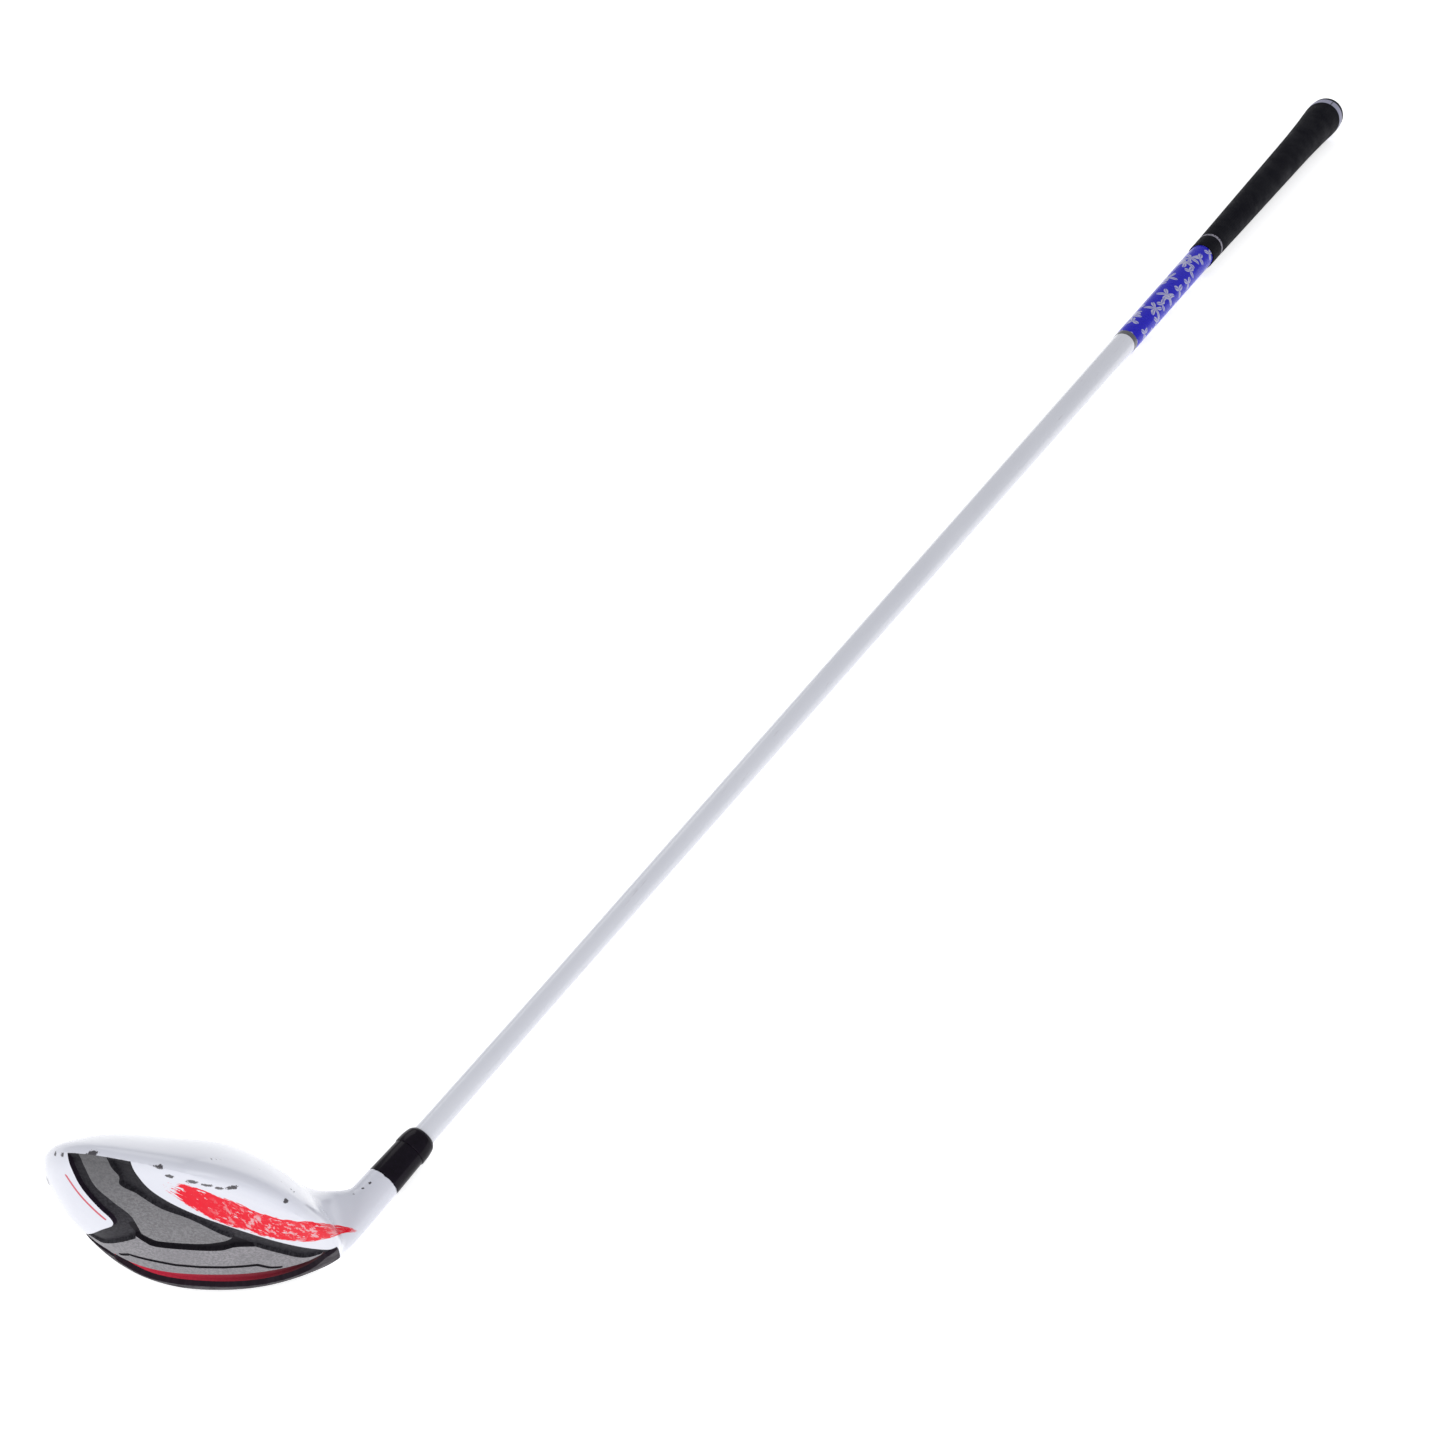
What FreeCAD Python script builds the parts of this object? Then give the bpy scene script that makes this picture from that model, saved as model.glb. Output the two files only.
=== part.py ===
import FreeCAD, Part
import math
import os
import re

import Sketcher

# Bonded left-handed golf wood, lying face down on the ground.
# Two frames are used, both in millimetres.
#   club frame: the playing position. Origin where the shaft axis meets the ground, +X to the toe,
#               +Y to the rear of the head, +Z up. The face looks along -Y.
#   part frame: the resting position. +X from head to grip, +Z up, ground at z = 0.

DOC = FreeCAD.newDocument("golf_wood")
V = FreeCAD.Vector

# Heights named *_at are distances from the ground along the shaft axis.
DIMS = {
    # head outline and surfaces
    "lie_angle": 58.5, "loft_angle": 18.0,
    "plan_x": 28.0, "plan_y": 17.5, "toe_half": 48.0, "heel_half": 47.5,
    "rear_half": 54.0, "front_half": 40.0, "rear_power": 2.6, "front_power": 2.2,
    "rim_height": 17.0, "rim_toe_slope": 0.20, "rim_rear_drop": 0.24,
    "crown_rise": 21.5, "crown_power": 2.2, "crown_fullness": 0.75, "sole_power": 3.5,
    "tail_fraction": 0.985, "nose_start": -16.0,
    # face
    "leading_y": -9.0, "leading_z": 5.5, "face_middle": 15.0, "face_bulge_r": 300.0,
    "face_wall": 2.2, "cup_rise": 36.0, "cup_heel_x": -6.0,
    "cup_depth_sole": 10.5, "cup_depth_crown": 8.0,
    "score_start": 7.0, "score_width": 0.8, "score_depth": 0.35, "score_pitch": 4.2,
    "score_length": 46.0,
    # walls
    "side_wall": 1.3, "crown_wall": 0.8, "sole_wall": 1.9,
    # slot and its insert
    "slot_mid_x": 20.0, "slot_mid_y": 5.7, "slot_toe_x": 51.5, "slot_toe_y": 15.3,
    "slot_heel_x": -13.0, "slot_heel_y": 10.5, "slot_width": 6.0, "insert_recess": 0.9,
    # grey sole panels
    "panel_depth": 0.8,
    # inner pieces
    "pad_height": 7.0, "pad_width": 11.0, "pad_half_length": 24.0, "pad_x": 20.0, "pad_y": 22.0,
    "melt_r": 11.0, "melt_height": 4.0, "melt_x": 34.0, "melt_y": 40.0,
    # hosel
    "hosel_bore_at": 18.5, "hosel_root_at": 17.5, "hosel_flare_at": 25.0, "hosel_neck_at": 34.0,
    "hosel_top_at": 47.9, "hosel_root_r": 6.0, "hosel_flare_r": 6.8, "hosel_neck_r": 6.6,
    "hosel_top_r": 6.4, "epoxy_film": 0.15,
    # shaft
    "shaft_tip_at": 19.5, "shaft_taper_at": 150.0, "shaft_taper_end_at": 800.0,
    "shaft_butt_at": 1062.5, "shaft_tip_r": 4.25, "shaft_butt_r": 7.55,
    "bore_tip_r": 2.6, "bore_butt_r": 6.5,
    "dam_length": 12.0, "dam_at": 52.0, "weight_length": 24.0, "weight_at": 24.0,
    "weight_r": 2.4,
    # ferrule
    "collar_at": 61.3, "ferrule_top_at": 68.7, "ferrule_base_r": 6.35, "ferrule_top_r": 6.0,
    "collar_r": 6.25, "collar_shoulder": 5.0, "collar_lip_r": 4.9,
    # decal sleeve on the shaft
    "ring_at": 694.0, "band_at": 698.0, "decal_film": 0.12,
    # grip
    "mouth_at": 818.0, "tape_film": 0.15, "mouth_r": 8.35,
    "waist_at": 930.0, "waist_r": 9.8, "swell_at": 1006.0, "swell_r": 10.9,
    "bell_at": 1035.0, "bell_r": 11.9, "butt_at": 1055.0, "butt_r": 12.9,
    "mark_at": 832.0, "mark_length": 2.2, "mark_depth": 0.4,
    "cap_band_length": 6.0, "cap_edge_r": 12.3, "cap_edge_at": 1065.5,
    "cap_top_at": 1067.0, "cap_top_r": 10.6, "vent_r": 1.6,
    # resting position
    "rest_roll": -0.1604, "rest_pitch": -0.2240,
}


def make_sheet():
    """Write the driving dimensions into a spreadsheet, one aliased cell each."""
    sheet = DOC.addObject("Spreadsheet::Sheet", "dims")
    for row, (name, number) in enumerate(DIMS.items(), start=1):
        sheet.set(f"A{row}", name)
        sheet.set(f"B{row}", str(number))
        sheet.setAlias(f"B{row}", name)
    DOC.recompute()
    return sheet


SHEET = make_sheet()


def dim(name):
    """A driving dimension, read from the sheet."""
    return float(SHEET.get(name))


# ---------------------------------------------------------------- frames

def shaft_direction():
    """Unit vector up the shaft, in the club frame."""
    lie = math.radians(dim("lie_angle"))
    return V(-math.cos(lie), 0, math.sin(lie))


def rest_placement():
    """Club frame to the lying position, before the origin is moved."""
    along = shaft_direction()
    rear = V(0, 1, 0)
    across = rear.cross(along)
    turn = FreeCAD.Matrix(along.x, along.y, along.z, 0,
                          across.x, across.y, across.z, 0,
                          rear.x, rear.y, rear.z, 0,
                          0, 0, 0, 1)
    laid = FreeCAD.Placement(turn)
    roll = FreeCAD.Placement(V(), FreeCAD.Rotation(V(1, 0, 0), dim("rest_roll")))
    pitch = FreeCAD.Placement(V(), FreeCAD.Rotation(V(0, 1, 0), dim("rest_pitch")))
    return pitch * roll * laid


REST = rest_placement()
SHAFT_AXIS = FreeCAD.Placement(V(), FreeCAD.Rotation(V(0, 0, 1), shaft_direction()))


# ---------------------------------------------------------------- turned pieces

def terms(text):
    """Split 'a + b - c' into signed sheet names."""
    found = re.findall(r"([+-]?)\s*([a-z_]+)", text)
    return [(-1 if sign == "-" else 1, name) for sign, name in found]


def amount(text):
    return sum(sign * dim(name) for sign, name in terms(text))


def expression(text):
    return re.sub(r"([a-z_]+)", r"dims.\1", text)


def find_plane(body, role):
    return next(plane for plane in body.Origin.OriginFeatures if plane.Role == role)


def turned(label, profile):
    """A piece of revolution about the shaft axis. profile is [(radius, distance along the axis)]."""
    body = DOC.addObject("PartDesign::Body", label + "_body")
    body.Label = label
    sketch = body.newObject("Sketcher::SketchObject", label + "_profile")
    sketch.AttachmentSupport = [(find_plane(body, "XZ_Plane"), "")]
    sketch.MapMode = "FlatFace"
    points = [V(amount(r) if r else 0, amount(at), 0) for r, at in profile]
    for start, end in zip(points, points[1:] + points[:1]):
        sketch.addGeometry(Part.LineSegment(start, end))
    count = len(points)
    for i in range(count):
        sketch.addConstraint(Sketcher.Constraint("Coincident", i, 2, (i + 1) % count, 1))
    for i, (radius, distance) in enumerate(profile):
        if radius:
            index = sketch.addConstraint(Sketcher.Constraint("DistanceX", -1, 1, i, 1, points[i].x))
            sketch.setExpression(f"Constraints[{index}]", expression(radius))
        else:
            sketch.addConstraint(Sketcher.Constraint("PointOnObject", i, 1, -2))
        index = sketch.addConstraint(Sketcher.Constraint("DistanceY", -1, 1, i, 1, points[i].y))
        sketch.setExpression(f"Constraints[{index}]", expression(distance))
    turn = body.newObject("PartDesign::Revolution", label + "_turn")
    turn.Profile = sketch
    turn.ReferenceAxis = (sketch, ["V_Axis"])
    turn.Angle = 360
    body.Placement = REST * SHAFT_AXIS
    return body


def shaft_radius(at):
    """Outside radius of the shaft at a distance along it."""
    start, end = dim("shaft_taper_at"), dim("shaft_taper_end_at")
    share = min(max((at - start) / (end - start), 0), 1)
    return dim("shaft_tip_r") + share * (dim("shaft_butt_r") - dim("shaft_tip_r"))


def set_tapered_sleeves():
    """Radii of the pieces that hug the tapered stretch of the shaft, added to the sheet."""
    row = len(DIMS) + 1
    for name, at in (("ring_start_r", dim("ring_at")), ("band_start_r", dim("band_at")),
                     ("band_end_r", dim("shaft_taper_end_at"))):
        SHEET.set(f"A{row}", name)
        SHEET.set(f"B{row}", str(round(shaft_radius(at), 4)))
        SHEET.setAlias(f"B{row}", name)
        row += 1
    DOC.recompute()


def make_shaft_pieces():
    turned("shaft_tube", [
        ("bore_tip_r", "shaft_tip_at"), ("shaft_tip_r", "shaft_tip_at"),
        ("shaft_tip_r", "shaft_taper_at"), ("shaft_butt_r", "shaft_taper_end_at"),
        ("shaft_butt_r", "shaft_butt_at"), ("bore_butt_r", "shaft_butt_at"),
        ("bore_butt_r", "shaft_taper_end_at"), ("bore_tip_r", "shaft_taper_at")])
    turned("tip_weight", [
        ("", "weight_at"), ("weight_r", "weight_at"),
        ("weight_r", "weight_at + weight_length"), ("", "weight_at + weight_length")])
    turned("glue_dam", [
        ("", "dam_at"), ("bore_tip_r", "dam_at"),
        ("bore_tip_r", "dam_at + dam_length"), ("", "dam_at + dam_length")])
    turned("hosel_epoxy", [
        ("shaft_tip_r", "shaft_tip_at"), ("shaft_tip_r + epoxy_film", "shaft_tip_at"),
        ("shaft_tip_r + epoxy_film", "hosel_top_at"), ("shaft_tip_r", "hosel_top_at")])
    turned("ferrule", [
        ("shaft_tip_r", "hosel_top_at"), ("ferrule_base_r", "hosel_top_at"),
        ("ferrule_top_r", "collar_at"), ("shaft_tip_r", "collar_at")])
    turned("ferrule_collar", [
        ("shaft_tip_r", "collar_at"), ("collar_r", "collar_at"),
        ("collar_r", "collar_at + collar_shoulder"), ("collar_lip_r", "ferrule_top_at"),
        ("shaft_tip_r", "ferrule_top_at")])
    turned("decal_ring", [
        ("ring_start_r", "ring_at"), ("ring_start_r + decal_film", "ring_at"),
        ("band_start_r + decal_film", "band_at"), ("band_start_r", "band_at")])
    turned("shaft_decal_band", [
        ("band_start_r", "band_at"), ("band_start_r + decal_film", "band_at"),
        ("band_end_r + decal_film", "shaft_taper_end_at"), ("shaft_butt_r + decal_film", "mouth_at"),
        ("shaft_butt_r", "mouth_at"), ("shaft_butt_r", "shaft_taper_end_at")])


def make_grip_pieces():
    tape = "shaft_butt_r + tape_film"
    turned("grip_tape", [
        ("shaft_butt_r", "mouth_at"), (tape, "mouth_at"),
        (tape, "shaft_butt_at"), ("shaft_butt_r", "shaft_butt_at")])
    turned("grip_sleeve", [
        (tape, "mouth_at"), ("mouth_r", "mouth_at"), ("mouth_r", "mark_at"),
        ("mouth_r - mark_depth", "mark_at"), ("mouth_r - mark_depth", "mark_at + mark_length"),
        ("mouth_r", "mark_at + mark_length"), ("waist_r", "waist_at"), ("swell_r", "swell_at"),
        ("bell_r", "bell_at"), ("butt_r", "butt_at"), (tape, "butt_at")])
    turned("grip_mark_ring", [
        ("mouth_r - mark_depth", "mark_at"), ("mouth_r", "mark_at"),
        ("mouth_r", "mark_at + mark_length"), ("mouth_r - mark_depth", "mark_at + mark_length")])
    turned("cap_band", [
        (tape, "butt_at"), ("butt_r", "butt_at"), ("butt_r", "butt_at + cap_band_length"),
        (tape, "butt_at + cap_band_length")])
    turned("grip_cap", [
        ("vent_r", "shaft_butt_at"), (tape, "shaft_butt_at"),
        (tape, "butt_at + cap_band_length"), ("butt_r", "butt_at + cap_band_length"),
        ("cap_edge_r", "cap_edge_at"), ("cap_top_r", "cap_top_at"), ("vent_r", "cap_top_at")])


# ---------------------------------------------------------------- head surfaces, club frame

def plan_radius(x, y, inset=0.0):
    """0 at the plan centre, 1 on the rim. inset shrinks the outline by that many millimetres."""
    dx, dy = x - dim("plan_x"), y - dim("plan_y")
    half_x = dim("toe_half" if dx > 0 else "heel_half") - inset
    half_y = dim("rear_half" if dy > 0 else "front_half") - inset
    power = dim("rear_power" if dy > 0 else "front_power")
    return (abs(dx / half_x) ** power + abs(dy / half_y) ** power) ** (1 / power)


def rim_z(x, y):
    """Height of the plane that holds the rim."""
    toe = dim("rim_toe_slope") * (x - dim("plan_x"))
    rear = dim("rim_rear_drop") * (y - dim("plan_y"))
    return dim("rim_height") + toe - rear


def crown_z(x, y, inset=0.0, wall=0.0):
    inside = max(1 - plan_radius(x, y, inset) ** dim("crown_power"), 0)
    return rim_z(x, y) + (dim("crown_rise") - wall) * inside ** dim("crown_fullness")


def sole_z(x, y, inset=0.0, wall=0.0):
    r = min(plan_radius(x, y, inset), 1)
    return rim_z(x, y) * r ** dim("sole_power") + wall * (1 - r ** 4)


def rim_half_widths(y, inset):
    """How far the rim reaches to the heel and to the toe from the plan centre, at one y."""
    dy = y - dim("plan_y")
    half_y = dim("rear_half" if dy > 0 else "front_half") - inset
    power = dim("rear_power" if dy > 0 else "front_power")
    share = max(1 - abs(dy / half_y) ** power, 0) ** (1 / power)
    return (dim("heel_half") - inset) * share, (dim("toe_half") - inset) * share


def head_section(y, inset, crown_wall, sole_wall):
    """Closed outline of the head across one y: a crown curve and a sole curve."""
    heel, toe = rim_half_widths(y, inset)
    steps = 14
    angles = [math.pi * i / steps for i in range(steps + 1)]
    xs = [dim("plan_x") - math.cos(a) * (heel if math.cos(a) > 0 else toe) for a in angles]
    ends = [V(x, y, rim_z(x, y)) for x in (xs[0], xs[-1])]
    edges = []
    for height, wall in ((crown_z, crown_wall), (sole_z, sole_wall)):
        inner = [V(x, y, height(x, y, inset, wall)) for x in xs[1:-1]]
        curve = Part.BSplineCurve()
        curve.interpolate([ends[0]] + inner + [ends[1]])
        edges.append(curve.toShape())
    return Part.Wire([edges[0], edges[1]])


def head_loft(inset=0.0, crown_wall=0.0, sole_wall=0.0):
    """Solid between the crown and sole surfaces, shrunk by the walls given."""
    start = dim("nose_start")
    centre = dim("plan_y")
    end = centre + (dim("rear_half") - inset) * dim("tail_fraction")
    front = [start + (centre - start) * i / 4 for i in range(4)]
    rear = [centre + (end - centre) * math.sin(math.pi / 2 * i / 8) for i in range(9)]
    wires = [head_section(y, inset, crown_wall, sole_wall) for y in front + rear]
    return Part.makeLoft(wires, True, False)


def face_ball(depth):
    """Ball whose front is the bulged face, moved back by depth."""
    loft = math.radians(dim("loft_angle"))
    inward = V(0, math.cos(loft), -math.sin(loft))
    lead = V(dim("plan_x"), dim("leading_y"), dim("leading_z"))
    middle = lead + V(0, math.sin(loft), math.cos(loft)) * dim("face_middle")
    radius = dim("face_bulge_r") - depth
    return Part.makeSphere(radius, middle + inward * dim("face_bulge_r"), V(0, 0, 1), -90, 90, 360)


def half_space(point, normal, size=400.0):
    """A big block on the side of the plane that normal points to."""
    block = Part.makeBox(size, size, size, V(-size / 2, -size / 2, 0))
    block.Placement = FreeCAD.Placement(point, FreeCAD.Rotation(V(0, 0, 1), normal))
    return block


def rim_half_space():
    """The side of the rim plane that holds the crown."""
    point = V(dim("plan_x"), dim("plan_y"), dim("rim_height"))
    return half_space(point, V(-dim("rim_toe_slope"), dim("rim_rear_drop"), 1))


def cup_space():
    """The space in front of the joint between cup face and body, as far as the hosel."""
    low = V(0, dim("leading_y") + dim("cup_depth_sole"), 0)
    rise = dim("cup_rise")
    high = V(0, dim("leading_y") + rise * math.tan(math.radians(dim("loft_angle")))
             + dim("cup_depth_crown"), rise)
    ahead = half_space(low, V(1, 0, 0).cross(high - low))
    return ahead.common(half_space(V(dim("cup_heel_x"), 0, 0), V(1, 0, 0)))


def hosel_solid():
    """The neck that the shaft is bonded into."""
    profile = [(0, "hosel_root_at"), ("hosel_root_r", "hosel_root_at"),
               ("hosel_flare_r", "hosel_flare_at"), ("hosel_neck_r", "hosel_neck_at"),
               ("hosel_top_r", "hosel_top_at"), (0, "hosel_top_at")]
    points = [V(dim(r) if r else 0, 0, dim(at)) for r, at in profile]
    flank = Part.BSplineCurve()
    flank.interpolate(points[1:5])
    edges = [Part.makeLine(points[0], points[1]), flank.toShape(),
             Part.makeLine(points[4], points[5]), Part.makeLine(points[5], points[0])]
    neck = Part.Face(Part.Wire(edges)).revolve(V(), V(0, 0, 1), 360)
    neck.Placement = SHAFT_AXIS
    return neck


def hosel_bore():
    radius = dim("shaft_tip_r") + dim("epoxy_film")
    length = dim("hosel_top_at") - dim("hosel_bore_at") + 5
    start = shaft_direction() * dim("hosel_bore_at")
    return Part.makeCylinder(radius, length, start, shaft_direction())


def upright(wire, low=-8.0, high=40.0):
    """Prism on a plan outline."""
    wire.translate(V(0, 0, low))
    return Part.Face(wire).extrude(V(0, 0, high - low))


def closed_outline(points):
    corners = [V(x, y, 0) for x, y in points]
    return Part.makePolygon(corners + corners[:1])


def slot_prism(width):
    """Curved strip in plan, following the leading edge."""
    toe = V(dim("slot_toe_x"), dim("slot_toe_y"), 0)
    middle = V(dim("slot_mid_x"), dim("slot_mid_y"), 0)
    heel = V(dim("slot_heel_x"), dim("slot_heel_y"), 0)
    front = V(0, -width / 2, 0)
    first = Part.Arc(toe + front, middle + front, heel + front).toShape()
    second = Part.Arc(heel - front, middle - front, toe - front).toShape()
    ends = [Part.makeLine(heel + front, heel - front), Part.makeLine(toe - front, toe + front)]
    return upright(Part.Wire([first, ends[0], second, ends[1]]))


def front_bar_outline():
    """Grey bar behind the slot: its edge on the slot, then its edge on the dark groove."""
    slot_side = [(61.0, 27.0), (51.0, 19.0), (43.0, 13.5), (32.0, 10.0), (20.0, 8.7), (6.0, 9.8),
                 (-8.0, 13.0)]
    groove_side = [(-2.5, 20.8), (4.0, 27.0), (10.0, 27.4), (15.5, 25.7), (25.0, 26.0),
                   (35.5, 27.8), (38.2, 30.5), (40.5, 35.0), (46.0, 39.0), (52.0, 35.5)]
    return slot_side + groove_side


def centre_panel_outline():
    """Grey panel from the dark groove to the rear rim, clockwise from its front toe corner."""
    return [(38.5, 35.5), (33.0, 31.0), (21.0, 29.8), (10.0, 32.8), (20.5, 44.0), (29.0, 49.5),
            (35.0, 56.0), (39.0, 60.0), (40.0, 70.0), (53.0, 70.0), (44.0, 52.0), (39.0, 45.5)]


def feature(label, shape):
    """A head piece whose shape is worked out by the functions above."""
    piece = DOC.addObject("Part::Feature", label + "_shape")
    piece.Label = label
    piece.Shape = shape
    piece.Placement = REST
    return piece


def score_lines():
    """Grooves across the face."""
    loft = math.radians(dim("loft_angle"))
    up = V(0, math.sin(loft), math.cos(loft))
    lead = V(dim("plan_x"), dim("leading_y"), dim("leading_z"))
    grooves = []
    for i in range(5):
        centre = lead + up * (dim("score_start") + i * dim("score_pitch"))
        bar = Part.makeBox(dim("score_length"), 4, dim("score_width"),
                           V(-dim("score_length") / 2, -4 + dim("score_depth"), 0))
        bar.Placement = FreeCAD.Placement(centre, FreeCAD.Rotation(V(1, 0, 0), -dim("loft_angle")))
        grooves.append(bar)
    return Part.makeCompound(grooves)


def weight_pad(cavity):
    """Ballast bar on the inside of the sole, behind the slot."""
    x, y = dim("pad_x"), dim("pad_y")
    half, width = dim("pad_half_length"), dim("pad_width")
    bar = Part.makeBox(2 * half, width, dim("pad_height"), V(x - half, y - width / 2, 0))
    return bar.common(cavity)


def hot_melt(cavity):
    """Sticky blob that catches loose bits, on the inside of the sole at the rear."""
    ball = Part.makeSphere(dim("melt_r"))
    squash = FreeCAD.Matrix()
    squash.scale(1, 1, dim("melt_height") / dim("melt_r"))
    blob = ball.transformGeometry(squash)
    x, y = dim("melt_x"), dim("melt_y")
    blob.translate(V(x, y, sole_z(x, y) + dim("sole_wall")))
    return blob.common(cavity)


def main_solid(shape):
    """The largest solid, without the crumbs that a cut can leave."""
    return max(shape.Solids, key=lambda solid: solid.Volume)


def make_head_pieces():
    block = head_loft().common(face_ball(0))
    cavity = head_loft(dim("side_wall"), dim("crown_wall"), dim("sole_wall"))
    cavity = cavity.common(face_ball(dim("face_wall")))
    neck = hosel_solid()
    cup_side = cup_space()
    shell = block.cut(cavity)

    skin_core = head_loft(dim("panel_depth"), dim("panel_depth"), dim("panel_depth"))
    slot = slot_prism(dim("slot_width"))
    bar_prism = upright(closed_outline(front_bar_outline()))
    panel_prism = upright(closed_outline(centre_panel_outline()))

    cup = main_solid(shell.common(cup_side).cut(score_lines()).cut(neck))
    rest = shell.cut(cup_side)
    above_rim = rest.common(rim_half_space()).cut(neck)
    crown = main_solid(above_rim)
    heel_bits = above_rim.cut(crown)
    lower = rest.cut(rim_half_space())
    front_bar = lower.common(bar_prism).cut(skin_core).cut(slot)
    centre_panel = lower.common(panel_prism).cut(skin_core)
    body = lower.cut(front_bar).cut(centre_panel).cut(slot)
    body = body.fuse([neck, heel_bits]).cut(hosel_bore())
    flush = head_loft(dim("insert_recess"), dim("insert_recess"), dim("insert_recess"))
    insert = lower.common(slot).common(flush)

    feature("head_body", body.removeSplitter())
    feature("crown_shell", crown)
    feature("cup_face", cup)
    feature("slot_insert", insert)
    feature("sole_front_bar", front_bar)
    feature("sole_centre_panel", centre_panel)
    feature("sole_weight_pad", weight_pad(cavity.cut(cup_side)))
    feature("hot_melt_pad", hot_melt(cavity))


# ---------------------------------------------------------------- build, check, write

def named_pieces():
    """Every object that is one piece of the club."""
    kinds = ("PartDesign::Body", "Part::Feature")
    return [item for item in DOC.Objects if item.TypeId in kinds]


def set_on_ground(pieces):
    """Move every piece so that the origin is under the middle of the club, on the ground."""
    box = FreeCAD.BoundBox()
    for piece in pieces:
        box.add(piece.Shape.optimalBoundingBox(False, False))
    move = V(-box.Center.x, -box.Center.y, -box.ZMin)
    for piece in pieces:
        piece.Placement = FreeCAD.Placement(move, FreeCAD.Rotation()) * piece.Placement
    DOC.recompute()


def check_document(pieces):
    for item in DOC.Objects:
        if "Invalid" in item.State or "Error" in item.State:
            raise RuntimeError(f"{item.Label} failed: {item.State}")
    for piece in pieces:
        shape = piece.Shape
        if shape.isNull() or not shape.isValid() or not shape.Solids:
            raise RuntimeError(f"{piece.Label} has no valid solid")


def write_steps(pieces):
    os.makedirs("parts", exist_ok=True)
    for piece in pieces:
        piece.Shape.exportStep(f"parts/{piece.Label}.step")
        box = piece.Shape.BoundBox
        print(f"{piece.Label}: {len(piece.Shape.Solids)} solid, {piece.Shape.Volume:.0f} mm3, "
              f"x {box.XMin:.1f}..{box.XMax:.1f} y {box.YMin:.1f}..{box.YMax:.1f} "
              f"z {box.ZMin:.1f}..{box.ZMax:.1f}")


set_tapered_sleeves()
make_shaft_pieces()
make_grip_pieces()
make_head_pieces()
DOC.recompute()
PIECES = named_pieces()
set_on_ground(PIECES)
check_document(PIECES)
write_steps(PIECES)
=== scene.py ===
"""Looks of a left-handed golf wood that lies face down.

Two frames are used. The club frame is the playing position in millimetres: origin where the shaft axis
meets the ground, +X to the toe, +Y to the rear of the head, +Z up. The row frame is the CAD frame in metres.
"""

import math

import bpy
import numpy as np
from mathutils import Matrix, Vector


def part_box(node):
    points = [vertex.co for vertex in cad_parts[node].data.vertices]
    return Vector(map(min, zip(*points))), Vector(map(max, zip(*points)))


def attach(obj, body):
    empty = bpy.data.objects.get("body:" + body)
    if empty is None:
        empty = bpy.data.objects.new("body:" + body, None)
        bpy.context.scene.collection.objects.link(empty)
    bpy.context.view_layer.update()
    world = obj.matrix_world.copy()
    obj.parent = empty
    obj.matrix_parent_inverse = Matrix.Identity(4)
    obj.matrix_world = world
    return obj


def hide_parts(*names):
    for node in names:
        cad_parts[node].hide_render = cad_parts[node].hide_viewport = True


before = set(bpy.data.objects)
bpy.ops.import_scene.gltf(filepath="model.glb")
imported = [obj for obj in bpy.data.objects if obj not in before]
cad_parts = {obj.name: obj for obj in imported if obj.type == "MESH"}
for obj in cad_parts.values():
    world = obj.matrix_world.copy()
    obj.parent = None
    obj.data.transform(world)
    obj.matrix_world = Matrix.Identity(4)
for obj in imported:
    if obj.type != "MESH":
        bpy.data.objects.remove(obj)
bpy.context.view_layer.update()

# ---------------------------------------------------------------- frames

LIE, LOFT = math.radians(58.5), math.radians(18.0)
# Small turns that set the club down on its face and on the grip's butt.
ROLL, PITCH = math.radians(-0.1604), math.radians(-0.2240)
EPOXY_MIDDLE = 33.7  # the middle of the epoxy sleeve along the shaft axis, mm
SHAFT = np.array([-math.cos(LIE), 0.0, math.sin(LIE)])
REAR = np.array([0.0, 1.0, 0.0])
ACROSS = np.cross(REAR, SHAFT)


def resting_turn():
    """Rotation from the club frame to the row frame."""
    cx, sx, cy, sy = math.cos(ROLL), math.sin(ROLL), math.cos(PITCH), math.sin(PITCH)
    roll = np.array([[1, 0, 0], [0, cx, -sx], [0, sx, cx]])
    pitch = np.array([[cy, 0, sy], [0, 1, 0], [-sy, 0, cy]])
    return pitch @ roll @ np.array([SHAFT, ACROSS, REAR])


TURN = resting_turn()
LOW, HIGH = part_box("hosel_epoxy")
START = np.array((LOW + HIGH) / 2) * 1000 - TURN @ SHAFT * EPOXY_MIDDLE  # the club frame's origin, mm


def to_row(points):
    """Club frame in millimetres to the row frame in metres."""
    return (points @ TURN.T + START) / 1000


# ---------------------------------------------------------------- head surface, club frame, mm

# The plan is a superellipse about PLAN_X, PLAN_Y, with its own half width or power on each side.
PLAN_X, PLAN_Y = 28.0, 17.5
HALF_TOE, HALF_HEEL, HALF_REAR, HALF_FRONT = 49.6, 48.3, 55.4, 39.4
REAR_POWER, FRONT_POWER = 2.6, 2.2
# The rim between sole and crown is a tilted plane: its height at the plan's middle, and its slopes.
RIM_MIDDLE, RIM_TO_TOE, RIM_TO_REAR = 17.0, 0.20, -0.24
RIM_BLEND = 6.0
CROWN_HEIGHT, CROWN_HEEL_LIFT, CROWN_POWER = 21.5, 2.5, 2.2
SOLE_POWER, SOLE_TOE_CORNER = 3.5, 0.8
SOLE_LEAST = 2.0  # least depth of the sole, which keeps its field finite
FACE_LEAD = np.array([28.0, -9.0, 5.5])
FACE_UP = np.array([0.0, math.sin(LOFT), math.cos(LOFT)])
FACE_IN = np.array([0.0, math.cos(LOFT), -math.sin(LOFT)])
FACE_R = 300.0
FACE_MIDDLE = 15.0  # up the face from its leading edge
FACE_BLEND = 2.0
FACE_CLEAR = 10.5  # the face stops this far from the shaft axis
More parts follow.
